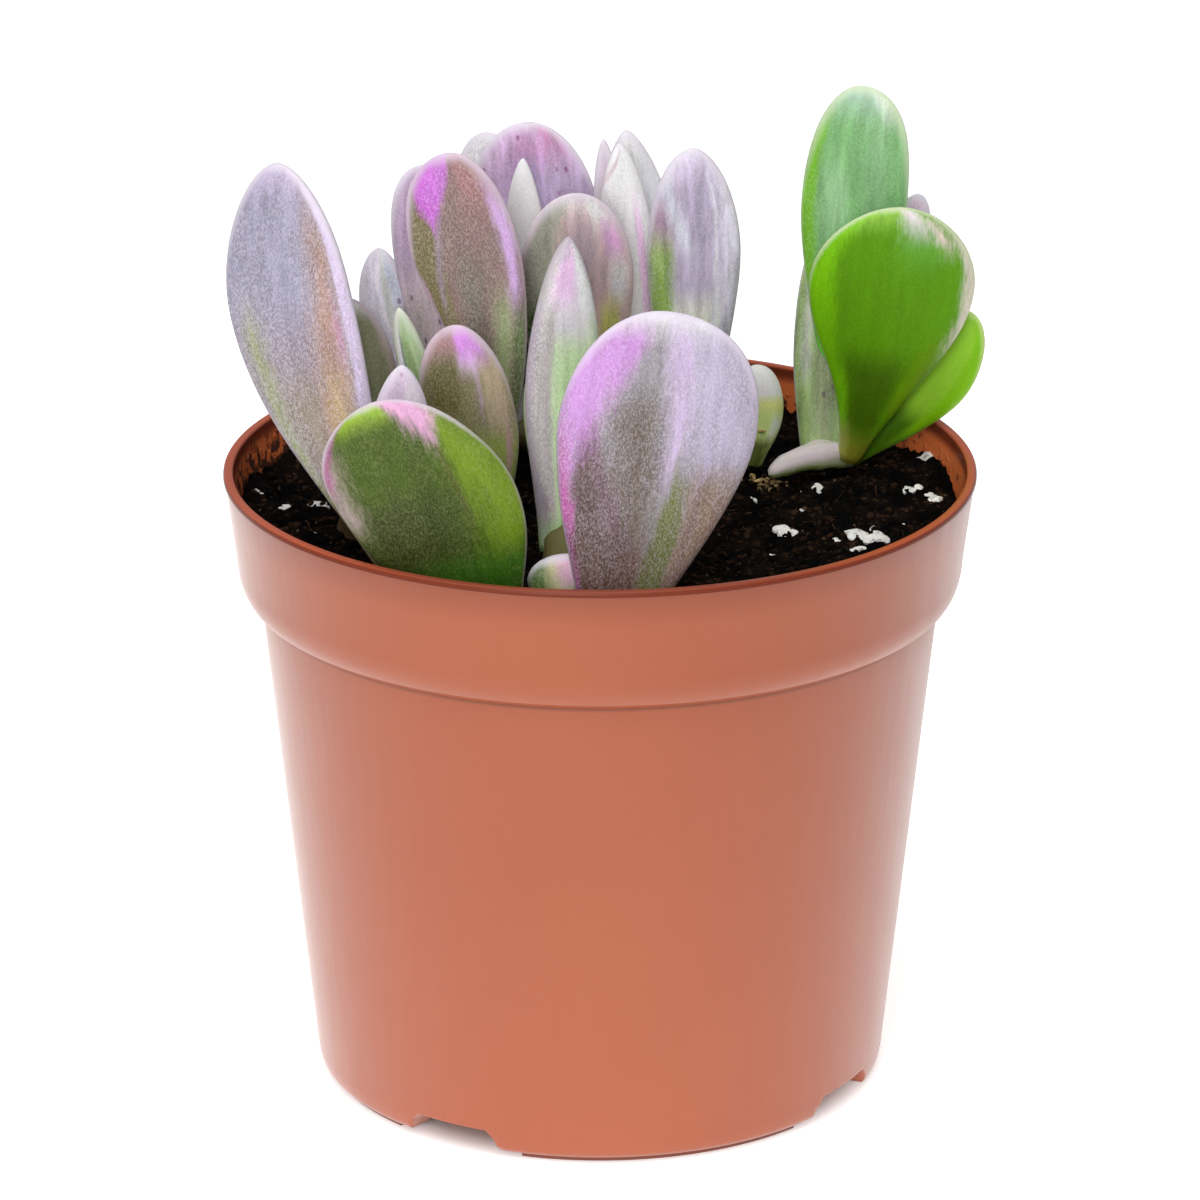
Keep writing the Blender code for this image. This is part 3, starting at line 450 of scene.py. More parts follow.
def leaf(
    root, tip, width, face=0.0, bow=(0, 0, 0), thick=3.2, widest=0.62, neck=0.35, swell=1.5, blunt=2.0,
    point=0.5, share=0.5, seed=0,
):
    """A fleshy leaf as rings of points, with its attributes.

    The midline is a quadratic curve from root to tip. Each ring is a superellipse across it, whose halves follow
    their own outlines, and whose broad faces carry shallow lengthwise ripples.
    """
    draws = np.random.default_rng(seed)
    root, tip, bow = (np.array(p, float) for p in (root, tip, bow))
    s = 1 - (1 - np.linspace(0, 1, LEAF_STATIONS)) ** 1.6
    middle = (root + tip) / 2 + 2 * bow
    t = s[:, None]
    line = (1 - t) ** 2 * root + 2 * t * (1 - t) * middle + t**2 * tip
    along = 2 * (1 - t) * (middle - root) + 2 * t * (tip - middle)
    along /= np.linalg.norm(along, axis=1)[:, None]
    turn = math.radians(face)
    across = np.cross(along, (math.sin(turn), -math.cos(turn), 0.0))
    across /= np.linalg.norm(across, axis=1)[:, None]
    out = np.cross(across, along)
    halves = []
    for side, part in enumerate((share, 1 - share)):
        shape = [both(value)[side] for value in (widest, neck, swell, blunt, point)]
        waver = 1 + 0.008 * np.sin(draws.uniform(0, 6) + 9 * s) + 0.006 * np.sin(draws.uniform(0, 6) + 17 * s)
        halves.append((width * part * half_outline(s, *shape) * waver)[:, None])
    depth = thick / 2 * (1 - THINNING * s) * np.sqrt(1 - s**8)
    depth = np.minimum(depth[:, None], 0.6 * (halves[0] + halves[1]))
    turns = circle(LEAF_SIDES)
    power = 2 / LEAF_SQUARENESS
    unit = (np.sign(np.cos(turns)) * np.abs(np.cos(turns)) ** power)[None, :]
    y = (np.sign(np.sin(turns)) * np.abs(np.sin(turns)) ** power)[None, :]
    x = np.where(unit < 0, halves[0] * unit, halves[1] * unit)
    ripples = np.zeros_like(x)
    for count in (1.5, 2.6, 4.3):
        wave = np.cos(math.pi * count * (unit + 0.12 * np.sin(3 * t + draws.uniform(0, 6))) + draws.uniform(0, 6))
        ripples = ripples + wave * 0.11 / count**0.5
    ripples = ripples * np.sin(math.pi * t) ** 0.6 * (1 - np.abs(unit) ** 3) * min(1.0, width / 12)
    z = depth * y + ripples
    points = line[:, None] + across[:, None] * x[..., None] + out[:, None] * z[..., None]
    length = np.linalg.norm(tip - root)
    rim = np.minimum(np.where(unit < 0, halves[0], halves[1]) * (1 - np.abs(unit)), length * (1 - t))
    place = np.stack([(unit + 1) / 2 + 0 * x, t + 0 * x, rim], axis=2)
    grain = np.stack([x, length * t + 0 * x, z], axis=2) + draws.uniform(0, 400, 3)
    return points, {"place": place, "grain": grain}


def smooth_path(points, steps):
    """A curve through the points, even in length: each stretch is a cubic that matches its neighbours' slopes."""
    p = np.array(points, float)
    p = np.vstack([2 * p[0] - p[1], p, 2 * p[-1] - p[-2]])
    t = np.linspace(0, 1, 12, endpoint=False)[:, None]
    runs = []
    for a, b, c, d in zip(p, p[1:], p[2:], p[3:]):
        bend, twist = a - 2.5 * b + 2 * c - d / 2, 1.5 * b - 1.5 * c + (d - a) / 2
        runs.append(b + t * (c - a) / 2 + t**2 * bend + t**3 * twist)
    fine = np.vstack([*runs, p[-2]])
    length = np.concatenate([[0], np.cumsum(np.linalg.norm(np.diff(fine, axis=0), axis=1))])
    return np.stack([np.interp(np.linspace(0, length[-1], steps), length, fine[:, k]) for k in range(3)], axis=1)


def stem(points, radius, seed, taper=0.0, stations=70, sides=28):
    """A round stem along a smooth path: it swells at each joint, is creased lengthwise, thins and ends blunt."""
    draws = np.random.default_rng(seed)
    line = smooth_path(points, stations)
    along = np.gradient(line, axis=0)
    along /= np.linalg.norm(along, axis=1)[:, None]
    across = np.cross(along, (0.35, 0.9, 0.25))
    across /= np.linalg.norm(across, axis=1)[:, None]
    out = np.cross(across, along)
    s = np.linspace(0, 1, stations)[:, None]
    turns = circle(sides)[None, :]
    joints = np.exp(-(((s * 6) % 1.0 - 0.5) / 0.16) ** 2)
    creases = np.sin(5 * turns + 4 * s + draws.uniform(0, 6)) + 0.7 * np.sin(9 * turns - 7 * s)
    thinner = 1 - taper * np.clip((s - 0.6) / 0.4, 0, 1) ** 1.3
    size = radius * (0.95 + 0.09 * joints + 0.018 * creases) * thinner * (1 - s**40) ** 0.5 + 0.02
    ring = np.cos(turns)[..., None] * across[:, None] + np.sin(turns)[..., None] * out[:, None]
    length = s * np.linalg.norm(np.diff(line, axis=0), axis=1).sum()
    place = np.stack([0.5 + 0.5 * np.sin(turns) + 0 * s, s + 0 * turns, 9 + 0 * s * turns], axis=2)
    grain = np.stack([radius * turns + 0 * s, length + 0 * turns, 0 * s * turns], axis=2) + draws.uniform(0, 400, 3)
    return line[:, None] + size[..., None] * ring, {"place": place, "grain": grain}


def closed(rings, extras, finish):
    """Points, faces, finish and attributes of a ringed shape, closed by a fan at each end.

    A ring that has shrunk to a point is the fan's own point.
    """
    ends = rings[0].mean(axis=0), rings[-1].mean(axis=0)
    pointed = [int(np.ptp(ring, axis=0).max() < 0.001) for ring in (rings[0], rings[-1])]
    kept = slice(pointed[0], len(rings) - pointed[1])
    rings = rings[kept]
    count, sides = rings.shape[:2]
    points = np.vstack([rings.reshape(-1, 3), *ends])
    i, j = np.meshgrid(np.arange(count - 1), np.arange(sides), indexing="ij")
    k = (j + 1) % sides
    quads = np.stack([i * sides + j, i * sides + k, (i + 1) * sides + k, (i + 1) * sides + j], axis=2).reshape(-1, 4)
    first, last = count * sides, count * sides + 1
    j = np.arange(sides)
    k = (j + 1) % sides
    fans = [(first, b, a) for a, b in zip(j, k)]
    fans += [(last, a, b) for a, b in zip(j + first - sides, k + first - sides)]
    corner = points[quads[:, 0]]
    volume = np.einsum("ij,ij->i", corner, np.cross(points[quads[:, 1]], points[quads[:, 2]])).sum()
    volume += np.einsum("ij,ij->i", corner, np.cross(points[quads[:, 2]], points[quads[:, 3]])).sum()
    faces = quads.tolist() + fans
    if volume < 0:
        faces = [face[::-1] for face in faces]
    values = {}
    for name, field in extras.items():
        values[name] = np.vstack([field[kept].reshape(-1, 3), field[0].mean(axis=0), field[-1].mean(axis=0)])
    return points, faces, finish, values


def build(name, parts, finishes, smooth=True):
    """One mesh object in metres from parts in millimetres."""
    points, faces, numbers = [], [], []
    fields = {label: [] for label in parts[0][3]}
    start = 0
    for part_points, part_faces, finish, extras in parts:
        points.append(part_points)
        faces += [[v + start for v in face] for face in part_faces]
        numbers.append(np.broadcast_to(finish, len(part_faces)))
        start += len(part_points)
        for label in fields:
            fields[label].append(extras[label])
    mesh = bpy.data.meshes.new(name)
    mesh.from_pydata((np.vstack(points) * MM).tolist(), [], faces)
    for label, runs in fields.items():
        layer = mesh.attributes.new(label, "FLOAT_VECTOR", "POINT")
        layer.data.foreach_set("vector", np.vstack(runs).astype(np.float32).ravel())
    for finish in finishes:
        mesh.materials.append(finish)
    mesh.polygons.foreach_set("material_index", np.concatenate(numbers).astype(np.int32))
    mesh.polygons.foreach_set("use_smooth", [smooth] * len(faces))
    mesh.update()
    made = bpy.data.objects.new(name, mesh)
    bpy.context.scene.collection.objects.link(made)
    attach(made, "root")
    return made


# The plant: each stem's path and radius, and each leaf's skin, root, tip, width and shape

STEMS = {
    "leafy_stem_left": (
        ((-29.0, -4.5, 58.0), (-29.0, -4.5, 67.5), (-28.2, -7.5, 72.4), (-26.5, -14.0, 73.2), (-25.0, -20.0, 72.6),
         (-21.0, -27.0, 70.8), (-15.8, -31.2, 69.4)), 2.5,
    ),
    "leafy_stem_middle": (
        ((-18.5, 4.5, 58.0), (-18.5, 4.5, 67.5), (-17.0, 2.0, 72.6), (-14.5, -2.5, 73.4), (-13.6, -8.0, 73.3),
         (-13.6, -13.5, 73.0)), 2.4,
    ),
    "leafy_stem_front": (
        ((4.5, -12.5, 58.0), (4.5, -12.5, 67.5), (1.6, -14.6, 72.6), (-3.5, -18.6, 73.2), (-4.2, -25.5, 72.0),
         (-1.6, -31.0, 69.8), (2.0, -34.2, 68.8)), 2.4,
    ),
    "leafy_stem_back": (
        ((-13.0, 25.0, 58.0), (-13.0, 25.0, 67.5), (-10.4, 21.8, 72.6), (-4.5, 16.2, 73.4), (1.5, 13.2, 73.4),
         (8.0, 12.4, 73.4), (14.0, 13.4, 73.2), (19.2, 15.0, 73.0)), 2.4,
    ),
    "leafy_stem_right": (
        ((28.8, 20.0, 58.0), (28.8, 20.0, 67.0), (29.8, 18.4, 71.4), (29.2, 14.8, 72.6), (25.6, 12.4, 72.8),
         (22.4, 10.6, 72.3), (20.4, 9.4, 71.4)), 2.1,
    ),
}

LEAVES = {
    "leafy_stem_left": (
        ("tall lavender", (-23.8, -22.5, 70.0), (-37.6, -9.0, 116.2), 16.6, dict(face=-25, bow=(-3.8, 0, -0.6),
            thick=4.5, widest=(0.68, 0.6), neck=(0.1, 0.36), swell=(1.45, 1.3), blunt=(1.8, 2.1), point=(0.6, 0.58),
            share=0.475)),
        ("dark behind", (-27.0, -9.5, 72.4), (-30.6, -1.5, 97.4), 10.8, dict(face=8, widest=0.6, neck=0.4)),
        ("small spotted", (-23.4, -20.5, 72.4), (-23.0, -19.0, 94.7), 7.0, dict(widest=0.6, neck=0.4, point=0.65)),
        ("front green", (-15.8, -31.0, 67.6), (-26.4, -33.0, 94.6), 20.8, dict(face=-8, bow=(0.5, -1, 0),
            widest=(0.7, 0.5), neck=(0.45, 0.62), swell=1.2, blunt=(2.4, 1.8), point=(0.5, 0.55), share=0.43)),
        ("turned back", (-28.8, -5.5, 71.5), (-38.5, 11.0, 98.0), 10.5, dict(face=120)),
    ),
    "leafy_stem_middle": (
        ("left folded", (-17.4, 2.6, 72.8), (-26.5, 9.0, 100.3), 6.6, dict(face=-10, bow=(-1.8, 0, 0), widest=0.72,
            neck=0.3, point=0.6)),
        ("close lavender", (-16.0, 2.4, 73.0), (-20.8, 7.0, 111.2), 10.2, dict(face=-15, bow=(-1.4, 0, 0),
            widest=(0.8, 0.68), neck=(0.2, 0.35), swell=(1.8, 1.5), blunt=(2.5, 2.0), share=0.42)),
        ("magenta wedge", (-13.6, -2.0, 72.4), (-18.3, 1.0, 114.4), 13.0, dict(face=-5, bow=(1.4, 0, 0),
            widest=(0.74, 0.66), neck=(0.1, 0.35), swell=(2.5, 1.3), blunt=(2.8, 2.2))),
        ("slender striped", (-15.0, -4.6, 73.4), (-23.7, -6.2, 97.6), 3.8, dict(bow=(-1.0, 0, 0), widest=0.64, neck=0.6,
            point=0.6)),
        ("short front", (-13.8, -13.0, 71.4), (-17.3, -12.0, 97.3), 11.2, dict(bow=(0.4, 0, 0), widest=(0.62, 0.52),
            neck=0.45, swell=1.2)),
        ("turned back", (-18.0, 3.6, 71.8), (-27.5, 19.0, 88.0), 9.0, dict(face=150)),
    ),
    "leafy_stem_front": (
        ("narrow margin", (-4.6, -19.0, 71.8), (-3.7, -10.0, 107.5), 10.3, dict(face=35, bow=(-0.2, 0, 0), thick=4.5,
            widest=0.5, neck=0.5, point=0.7)),
        ("biggest", (1.4, -34.0, 67.4), (7.4, -27.0, 103.8), 23.0, dict(face=5, bow=(0.9, -1, 0), thick=3.6,
            widest=(0.62, 0.7), neck=(0.38, 0.32), swell=(1.2, 1.3), blunt=(2.0, 2.3), share=0.48)),
        ("small at the rim", (-3.6, -30.6, 68.6), (-5.4, -30.2, 75.2), 7.4, dict(widest=0.6, neck=0.75, blunt=2.4)),
        ("young sliver", (-4.6, -17.4, 73.6), (-8.5, -11.0, 91.0), 2.0, dict(bow=(-0.9, 1.2, 0), thick=1.8, widest=0.5,
            neck=0.6, point=0.8)),
    ),
    "leafy_stem_back": (
        ("far lavender", (-9.4, 20.6, 72.8), (-13.9, 22.0, 110.9), 10.9, dict(face=-10, widest=0.68)),
        ("pink purple", (-4.8, 16.2, 73.4), (-9.1, 17.0, 113.6), 15.6, dict(widest=0.68, blunt=(2.3, 2.0))),
        ("brown pink", (-1.4, 13.6, 73.0), (-2.8, 3.0, 108.9), 13.8, dict(face=5, bow=(-0.6, -0.7, 0), widest=0.68,
            neck=0.3, swell=1.2)),
        ("white pointed", (-4.6, 15.4, 73.4), (-9.2, 10.5, 111.0), 5.4, dict(bow=(-1.2, -1, 0), thick=2.6, widest=0.6,
            neck=0.6, point=0.66)),
        ("shaded foot", (-5.4, 15.4, 72.6), (-6.7, 9.5, 98.5), 6.2, dict(bow=(-0.6, -0.6, 0), widest=0.5, neck=0.6)),
        ("pale young", (5.2, 12.0, 73.4), (2.3, 10.5, 112.8), 7.4, dict(face=10, bow=(-0.1, 0, 0), widest=0.55,
            neck=0.5, point=0.62)),
        ("young tip", (3.4, 13.4, 73.6), (0.4, 14.0, 112.4), 3.8, dict(thick=2.0, widest=0.7, neck=0.5, point=0.66)),
        ("pale behind", (6.2, 14.0, 73.4), (3.1, 18.0, 112.4), 9.4, dict(bow=(0.4, 0.5, 0), widest=0.6, neck=0.5,
            point=0.7)),
        ("thick lilac", (10.7, 11.8, 73.0), (11.1, 9.0, 112.7), 11.3, dict(face=5, bow=(0.3, 0, 0), thick=4.2,
            widest=0.66, neck=0.4, blunt=(2.3, 2.0), point=(0.56, 0.62))),
        ("stubby bud", (18.0, 14.4, 71.6), (18.9, 14.5, 83.8), 6.6, dict(bow=(0.5, 0, 0), thick=4.2, widest=0.5,
            neck=0.55, blunt=2.2)),
        ("turned back", (-10.6, 22.4, 72.0), (-17.0, 32.0, 100.0), 13.0, dict(face=170)),
        ("turned back", (-6.4, 18.4, 73.0), (-4.0, 33.0, 97.0), 14.0, dict(face=185)),
        ("turned back", (2.6, 14.0, 73.2), (8.0, 31.0, 99.0), 12.5, dict(face=195)),
        ("turned back", (9.8, 13.2, 72.8), (12.4, 27.0, 90.0), 9.0, dict(face=200)),
    ),
    "leafy_stem_right": (
        ("tall green", (29.8, 16.4, 72.0), (31.5, 16.0, 118.4), 12.7, dict(face=-8, bow=(-0.4, 0, 0), widest=0.68,
            neck=0.3, blunt=(2.2, 3.4), share=0.5)),
        ("grey spotted", (27.2, 14.4, 72.6), (29.0, 21.0, 102.3), 8.0, dict(face=-5, bow=(-0.5, 0, 0), widest=0.5,
            neck=0.7, swell=1.0)),
        ("pink tip", (30.2, 18.2, 72.0), (38.7, 21.0, 103.4), 7.2, dict(widest=0.6, neck=0.5)),
        ("broad green", (30.2, 13.6, 72.6), (35.2, 5.5, 106.4), 20.0, dict(face=5, bow=(1.4, -1, 0), thick=3.4,
            widest=0.7, neck=0.16, blunt=(2.0, 1.8), point=(0.5, 0.53))),
        ("leaning yellow green", (30.2, 16.2, 72.2), (44.5, 12.0, 91.4), 9.7, dict(face=-10, bow=(1.0, 0, -1.0),
            thick=3.0, widest=(0.66, 0.62), neck=0.4, share=0.48)),
        ("turned back", (29.6, 18.4, 72.2), (33.5, 33.0, 99.0), 11.0, dict(face=185)),
    ),
}


def stem_skin(name, upper, lower, streak, cork):
    """Living stem: one colour above and one below, streaked lengthwise, with corky flecks towards the soil."""
    skin, tree, shader = new_material(name)
    grain = add(tree, "Attribute", attribute_name="grain").outputs["Vector"]
    normal = add(tree, "SeparateXYZ", (add(tree, "NewGeometry").outputs["Normal"],)).outputs[2]
    up = add(tree, "MapRange", (normal, -0.7, 0.4), **SMOOTH)
    streaks = add(tree, "Mapping", {"Vector": grain, "Scale": (1.6, 0.25, 1.6)})
    streaks = add(tree, "TexNoise", {"Vector": streaks, "Scale": 1.0, "Detail": 3.0})
    green = add(tree, "MapRange", (streaks, 0.45, 0.7, 0.0, 0.55))
    height = add(tree, "SeparateXYZ", (add(tree, "TexCoord").outputs["Object"],)).outputs[2]
    low = add(tree, "MapRange", (height, cork, cork - 0.004))
    corky = add(tree, "TexNoise", {"Vector": grain, "Scale": 1.8, "Detail": 4.0})
    corky = add(tree, "Math", (corky, low), **TIMES)
    corky = add(tree, "MapRange", {0: corky, 1: 0.3, 2: 0.5, 4: 0.85})
    body = lower
    for share, colour in ((up, upper), (green, streak), (corky, "#5a4430")):
        body = add(tree, "Mix", {0: share, 6: body, 7: colour}, **COLOUR)
    wire(tree, shader, {
        "Base Color": body, "Roughness": 0.45, "Subsurface Weight": 0.2, "Subsurface Radius": (1.0, 0.7, 0.45),
        "Subsurface Scale": 0.0015,
        "Normal": add(tree, "Bump", {"Strength": 0.5, "Distance": 0.0001, "Height": streaks}),
    })
    return skin


def dry_material(name, scale, detail, dark, pale, roughness, bump=0.0):
    """Dry plant matter: browns that change over a few fibres, between a dark and a pale stop, each (place, colour)."""
    made, tree, shader = new_material(name)
    where = add(tree, "TexCoord").outputs["Object"]
    shade = add(tree, "TexNoise", {"Vector": where, "Scale": scale, "Detail": detail})
    ramp = add(tree, "ValToRGB", (shade,))
    for stop, (place, colour) in zip(ramp.color_ramp.elements, (dark, pale)):
        stop.position, stop.color = place, linear(colour)
    wire(tree, shader, {"Base Color": ramp, "Roughness": roughness})
    if bump:
        wire(tree, shader, {"Normal": add(tree, "Bump", {"Strength": bump, "Distance": 0.0001, "Height": shade})})
    return made


def make_plant():
    """Each stem with its leaves as one piece, in place of the CAD's."""
    skins = {name: leaf_skin(name, ground, bands, **looks) for name, (ground, looks, bands) in SKINS.items()}
    pink = stem_skin("pinkish stem tissue", "#dccfd4", "#86a04e", "#b2b88c", 0.0722)
    # the other stems' tissue: partly corky brown, partly a darker copy of the stem skin as painted shade where they
    # stand among the leaves
    brown = stem_skin("corky stem tissue, darkened as painted shade", "#6a6438", "#4a4a22", "#5e5228", 0.0765)
    for number, (node, (path, radius)) in enumerate(STEMS.items()):
        names = sorted({entry[0] for entry in LEAVES[node]})
        bark, taper = (pink, 0.55) if node == "leafy_stem_right" else (brown, 0.0)
        parts = [closed(*stem(path, radius, number, taper), 0)]
        for order, (name, root, tip, width, shape) in enumerate(LEAVES[node]):
            rings, extras = leaf(root, tip, width, seed=100 * number + order, **shape)
            parts.append(closed(rings, extras, 1 + names.index(name)))
        made = build(node + "_leaves", parts, [bark, *[skins[name] for name in names]])
        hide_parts(node)


# The straw and splinters: where a tuft stands, how far it spreads, and how many strands it has
STRAW = (((20.0, 10.8), 1.2, 16), ((-8.6, 4.0), 1.6, 14), ((-6.8, -4.5), 1.4, 8))
SCALES = 40
BUD_CHIP = (19.6, 12.5, 76.0)


def make_stem_end():
    """Frayed scales and splinters round the right stem's open end, straw between the stems, a scale on the bud."""
    draws = np.random.default_rng(41)
    x, y = draws.normal(20.1, 1.3, SCALES), draws.normal(10.9, 1.0, SCALES)
    size, flat, sunk = (draws.uniform(*ends, SCALES) for ends in ((0.2, 0.75), (0.12, 0.35), (-2.2, 0.2)))
    unit, faces = ball(2)
    parts = [lumps(x, y, size, flat, sunk, 2, 0.35, 42), (unit * (0.55, 0.25, 0.16) + BUD_CHIP, faces, 0, {})]
    for (x, y), spread, count in STRAW:
        for _ in range(count):
            start = draws.normal(x, spread), draws.normal(y, spread)
            parts.append(strand(draws, start, (0.5, 1.8), 0.5, (0.1, 0.6), (0.06, 0.13)))
    bark = dry_material("dry golden-brown bark scales", 1100.0, 4.0, (0.38, "#2a1a0c"), (0.66, "#c2a468"), 0.7, 0.6)
    made = build("bark_scales", parts, [bark], smooth=False)


# The soil


def lattice_noise(x, y, size, seed):
    """Smooth random values from -1 to 1 that change over a distance of size: a lattice with eased steps."""
    values = np.random.default_rng(seed).uniform(-1, 1, (128, 128))
    u, v = x / size + 64.3, y / size + 64.7
    i, j = np.floor(u).astype(int), np.floor(v).astype(int)
    f, g = u - i, v - j
    f, g = f * f * (3 - 2 * f), g * g * (3 - 2 * g)
    low = values[i % 128, j % 128] * (1 - f) + values[(i + 1) % 128, j % 128] * f
    high = values[i % 128, (j + 1) % 128] * (1 - f) + values[(i + 1) % 128, (j + 1) % 128] * f
    return low * (1 - g) + high * g


def bed_height(x, y):
    """The soil's broad shape: a level bed with hollows at the front wall and banks at the side walls."""
    height = SOIL_LEVEL + 0.03 * y
    for (cx, cy), depth, reach in HOLLOWS + BANKS:
        height = height - depth * np.exp(-(((x - cx) ** 2 + (y - cy) ** 2) / reach**2) ** 1.5)
    return height


def soil_height(x, y):
    """The bed with clods of several sizes, pressed down where a stem lies on it."""
    height = bed_height(x, y) + 0.7 * lattice_noise(x, y, 6.0, 1) + 0.6 * lattice_noise(x, y, 2.9, 2)
    height = height + 0.8 * (0.5 - np.abs(lattice_noise(x, y, 1.5, 3))) + 0.35 * lattice_noise(x, y, 0.75, 4)
    height = height + 0.16 * lattice_noise(x, y, 0.4, 5)
    for (px, py, pz), radius in STEM_POINTS:
        away = np.hypot(x - px, y - py)
        height = np.minimum(height, pz - 0.9 * radius + 0.9 * np.maximum(away - 0.6 * radius, 0))
    return np.maximum(height, SOIL_LOWEST)


STEM_POINTS = [(point, radius) for path, radius in STEMS.values() for point in smooth_path(path, 40) if point[2] > 71.0]


def soil_material(name, dark, brown):
    """Damp peat: near-black crumbs with browner fibres and a few pale specks, rough all over."""
    soil, tree, shader = new_material(name)
    where = add(tree, "TexCoord").outputs["Object"]
    blotch = add(tree, "TexNoise", {"Vector": where, "Scale": 260.0, "Detail": 6.0, "Roughness": 0.65})
    blotch = add(tree, "MapRange", (blotch, 0.46, 0.68))
    straw = add(tree, "Mapping", {"Vector": where, "Scale": (300.0, 1500.0, 900.0), "Rotation": (0.0, 0.0, 0.6)})
    straw = add(tree, "TexNoise", {"Vector": straw, "Scale": 1.0, "Detail": 4.0})
    straw = add(tree, "MapRange", {0: straw, 1: 0.62, 2: 0.74, 4: 0.7})
    specks = add(tree, "TexVoronoi", {"Vector": where, "Scale": 520.0})
    specks = add(tree, "MapRange", {0: specks, 1: 0.12, 2: 0.08, 4: 0.5})
    body = dark
    for share, colour in ((blotch, brown), (straw, "#4e3524"), (specks, "#7a6a58")):
        body = add(tree, "Mix", {0: share, 6: body, 7: colour}, **COLOUR)
    fine = add(tree, "TexNoise", {"Vector": where, "Scale": 2200.0, "Detail": 6.0, "Roughness": 0.7})
    wire(tree, shader, {
        "Base Color": body, "Roughness": 0.9, "Specular IOR Level": 0.06,
        "Normal": add(tree, "Bump", {"Strength": 1.0, "Distance": 0.0005, "Height": fine}),
    })
    return soil


def perlite_material():
    """Expanded volcanic glass: chalky white foam with pits and a little dirt."""
    grain, tree, shader = new_material("perlite grains")
    where = add(tree, "TexCoord").outputs["Object"]
    dirt = add(tree, "TexNoise", {"Vector": where, "Scale": 900.0, "Detail": 4.0})
    dirt = add(tree, "MapRange", {0: dirt, 1: 0.56, 2: 0.72, 4: 0.8})
    pits = add(tree, "TexVoronoi", {"Vector": where, "Scale": 3000.0})
    wire(tree, shader, {
        "Base Color": add(tree, "Mix", {0: dirt, 6: "#ecebe6", 7: "#6f655c"}, **COLOUR), "Roughness": 0.9,
        "Normal": add(tree, "Bump", {"Strength": 0.8, "Distance": 0.0002, "Height": pits}),
    })
    return grain


def ball(levels):
    """Points and faces of a unit ball of triangles."""
    bm = bmesh.new()
    bmesh.ops.create_icosphere(bm, subdivisions=levels, radius=1.0)
    points = np.array([v.co for v in bm.verts])
    faces = [[v.index for v in face.verts] for face in bm.faces]
    bm.free()
    return points, faces


def lumps(x, y, size, flat, sunk, levels, jag, seed):
    """Irregular lumps set on the soil: unit balls pushed in and out, stretched, planed off on three sides and turned.

    x, y, size, flat (height as a share of width) and sunk (depth as a share of height) are arrays, one value a lump.
    """
    draws = np.random.default_rng(seed)
    unit, faces = ball(levels)
    count = len(x)
    points = unit * draws.uniform(1 - jag, 1, (count, len(unit), 1)) * draws.uniform(0.65, 1.15, (count, 1, 3))
    for _ in range(3):
        side = draws.normal(size=(count, 3))
        side /= np.linalg.norm(side, axis=1)[:, None]
        past = np.einsum("nvk,nk->nv", points, side) - draws.uniform(0.4, 0.8, (count, 1))
        points = points - np.maximum(past, 0)[..., None] * side[:, None]
    turn, tilt = draws.uniform(0, 6.3, count), draws.uniform(-0.6, 0.6, count)
    points = points * size[:, None, None]
    a, b, c = points[..., 0], points[..., 1] * flat[:, None] ** 0.3, points[..., 2] * flat[:, None]
    b, c = b * np.cos(tilt)[:, None] - c * np.sin(tilt)[:, None], b * np.sin(tilt)[:, None] + c * np.cos(tilt)[:, None]
    along = a * np.cos(turn)[:, None] - b * np.sin(turn)[:, None]
    aside = a * np.sin(turn)[:, None] + b * np.cos(turn)[:, None]
    level = soil_height(x, y) + size * flat * (0.8 - 1.6 * sunk)
    points = np.stack([along + x[:, None], aside + y[:, None], c + level[:, None]], axis=2)
    faces = np.array(faces)[None] + (len(unit) * np.arange(count))[:, None, None]
    return points.reshape(-1, 3), faces.reshape(-1, 3).tolist(), 0, {}


def strand(draws, start, lengths, curl, lifts, widths):
    """A thin fibre on the soil: a plane curve that turns steadily, arched up a little, as a closed three-sided shape.

    Its heading, length, curl, lift and width are drawn from the ranges given.
    """
    heading, length = draws.uniform(0, 6.3), draws.uniform(*lengths)
    curl, lift, thick = draws.uniform(-curl, curl), draws.uniform(*lifts), draws.uniform(*widths)
    s = np.linspace(0, 1, 8)
    angle = heading + curl * s
    step = length / 7
    x = start[0] + np.concatenate([[0], np.cumsum(np.cos(angle[:-1]) * step)])
    y = start[1] + np.concatenate([[0], np.cumsum(np.sin(angle[:-1]) * step)])
    inside = np.minimum(1.0, SOIL_REACH / np.maximum(np.hypot(x, y), 1e-6))
    x, y = x * inside, y * inside
    z = soil_height(x, y) + lift * np.sin(math.pi * s) + 0.05
    z = 0.5 * z + 0.25 * (np.roll(z, 1) + np.roll(z, -1))
    z[0], z[-1] = z[1] - 0.3, z[-2] - 0.3
    line = np.stack([x, y, z], axis=1)
    side = np.stack([-np.sin(angle), np.cos(angle), 0 * angle], axis=1)
    turns = circle(3)[None, :, None]
    ring = np.cos(turns) * side[:, None] + np.sin(turns) * np.array([0.0, 0.0, 1.0])
    return closed(line[:, None] + thick * (1 - 0.5 * s)[:, None, None] * ring, {}, 0)


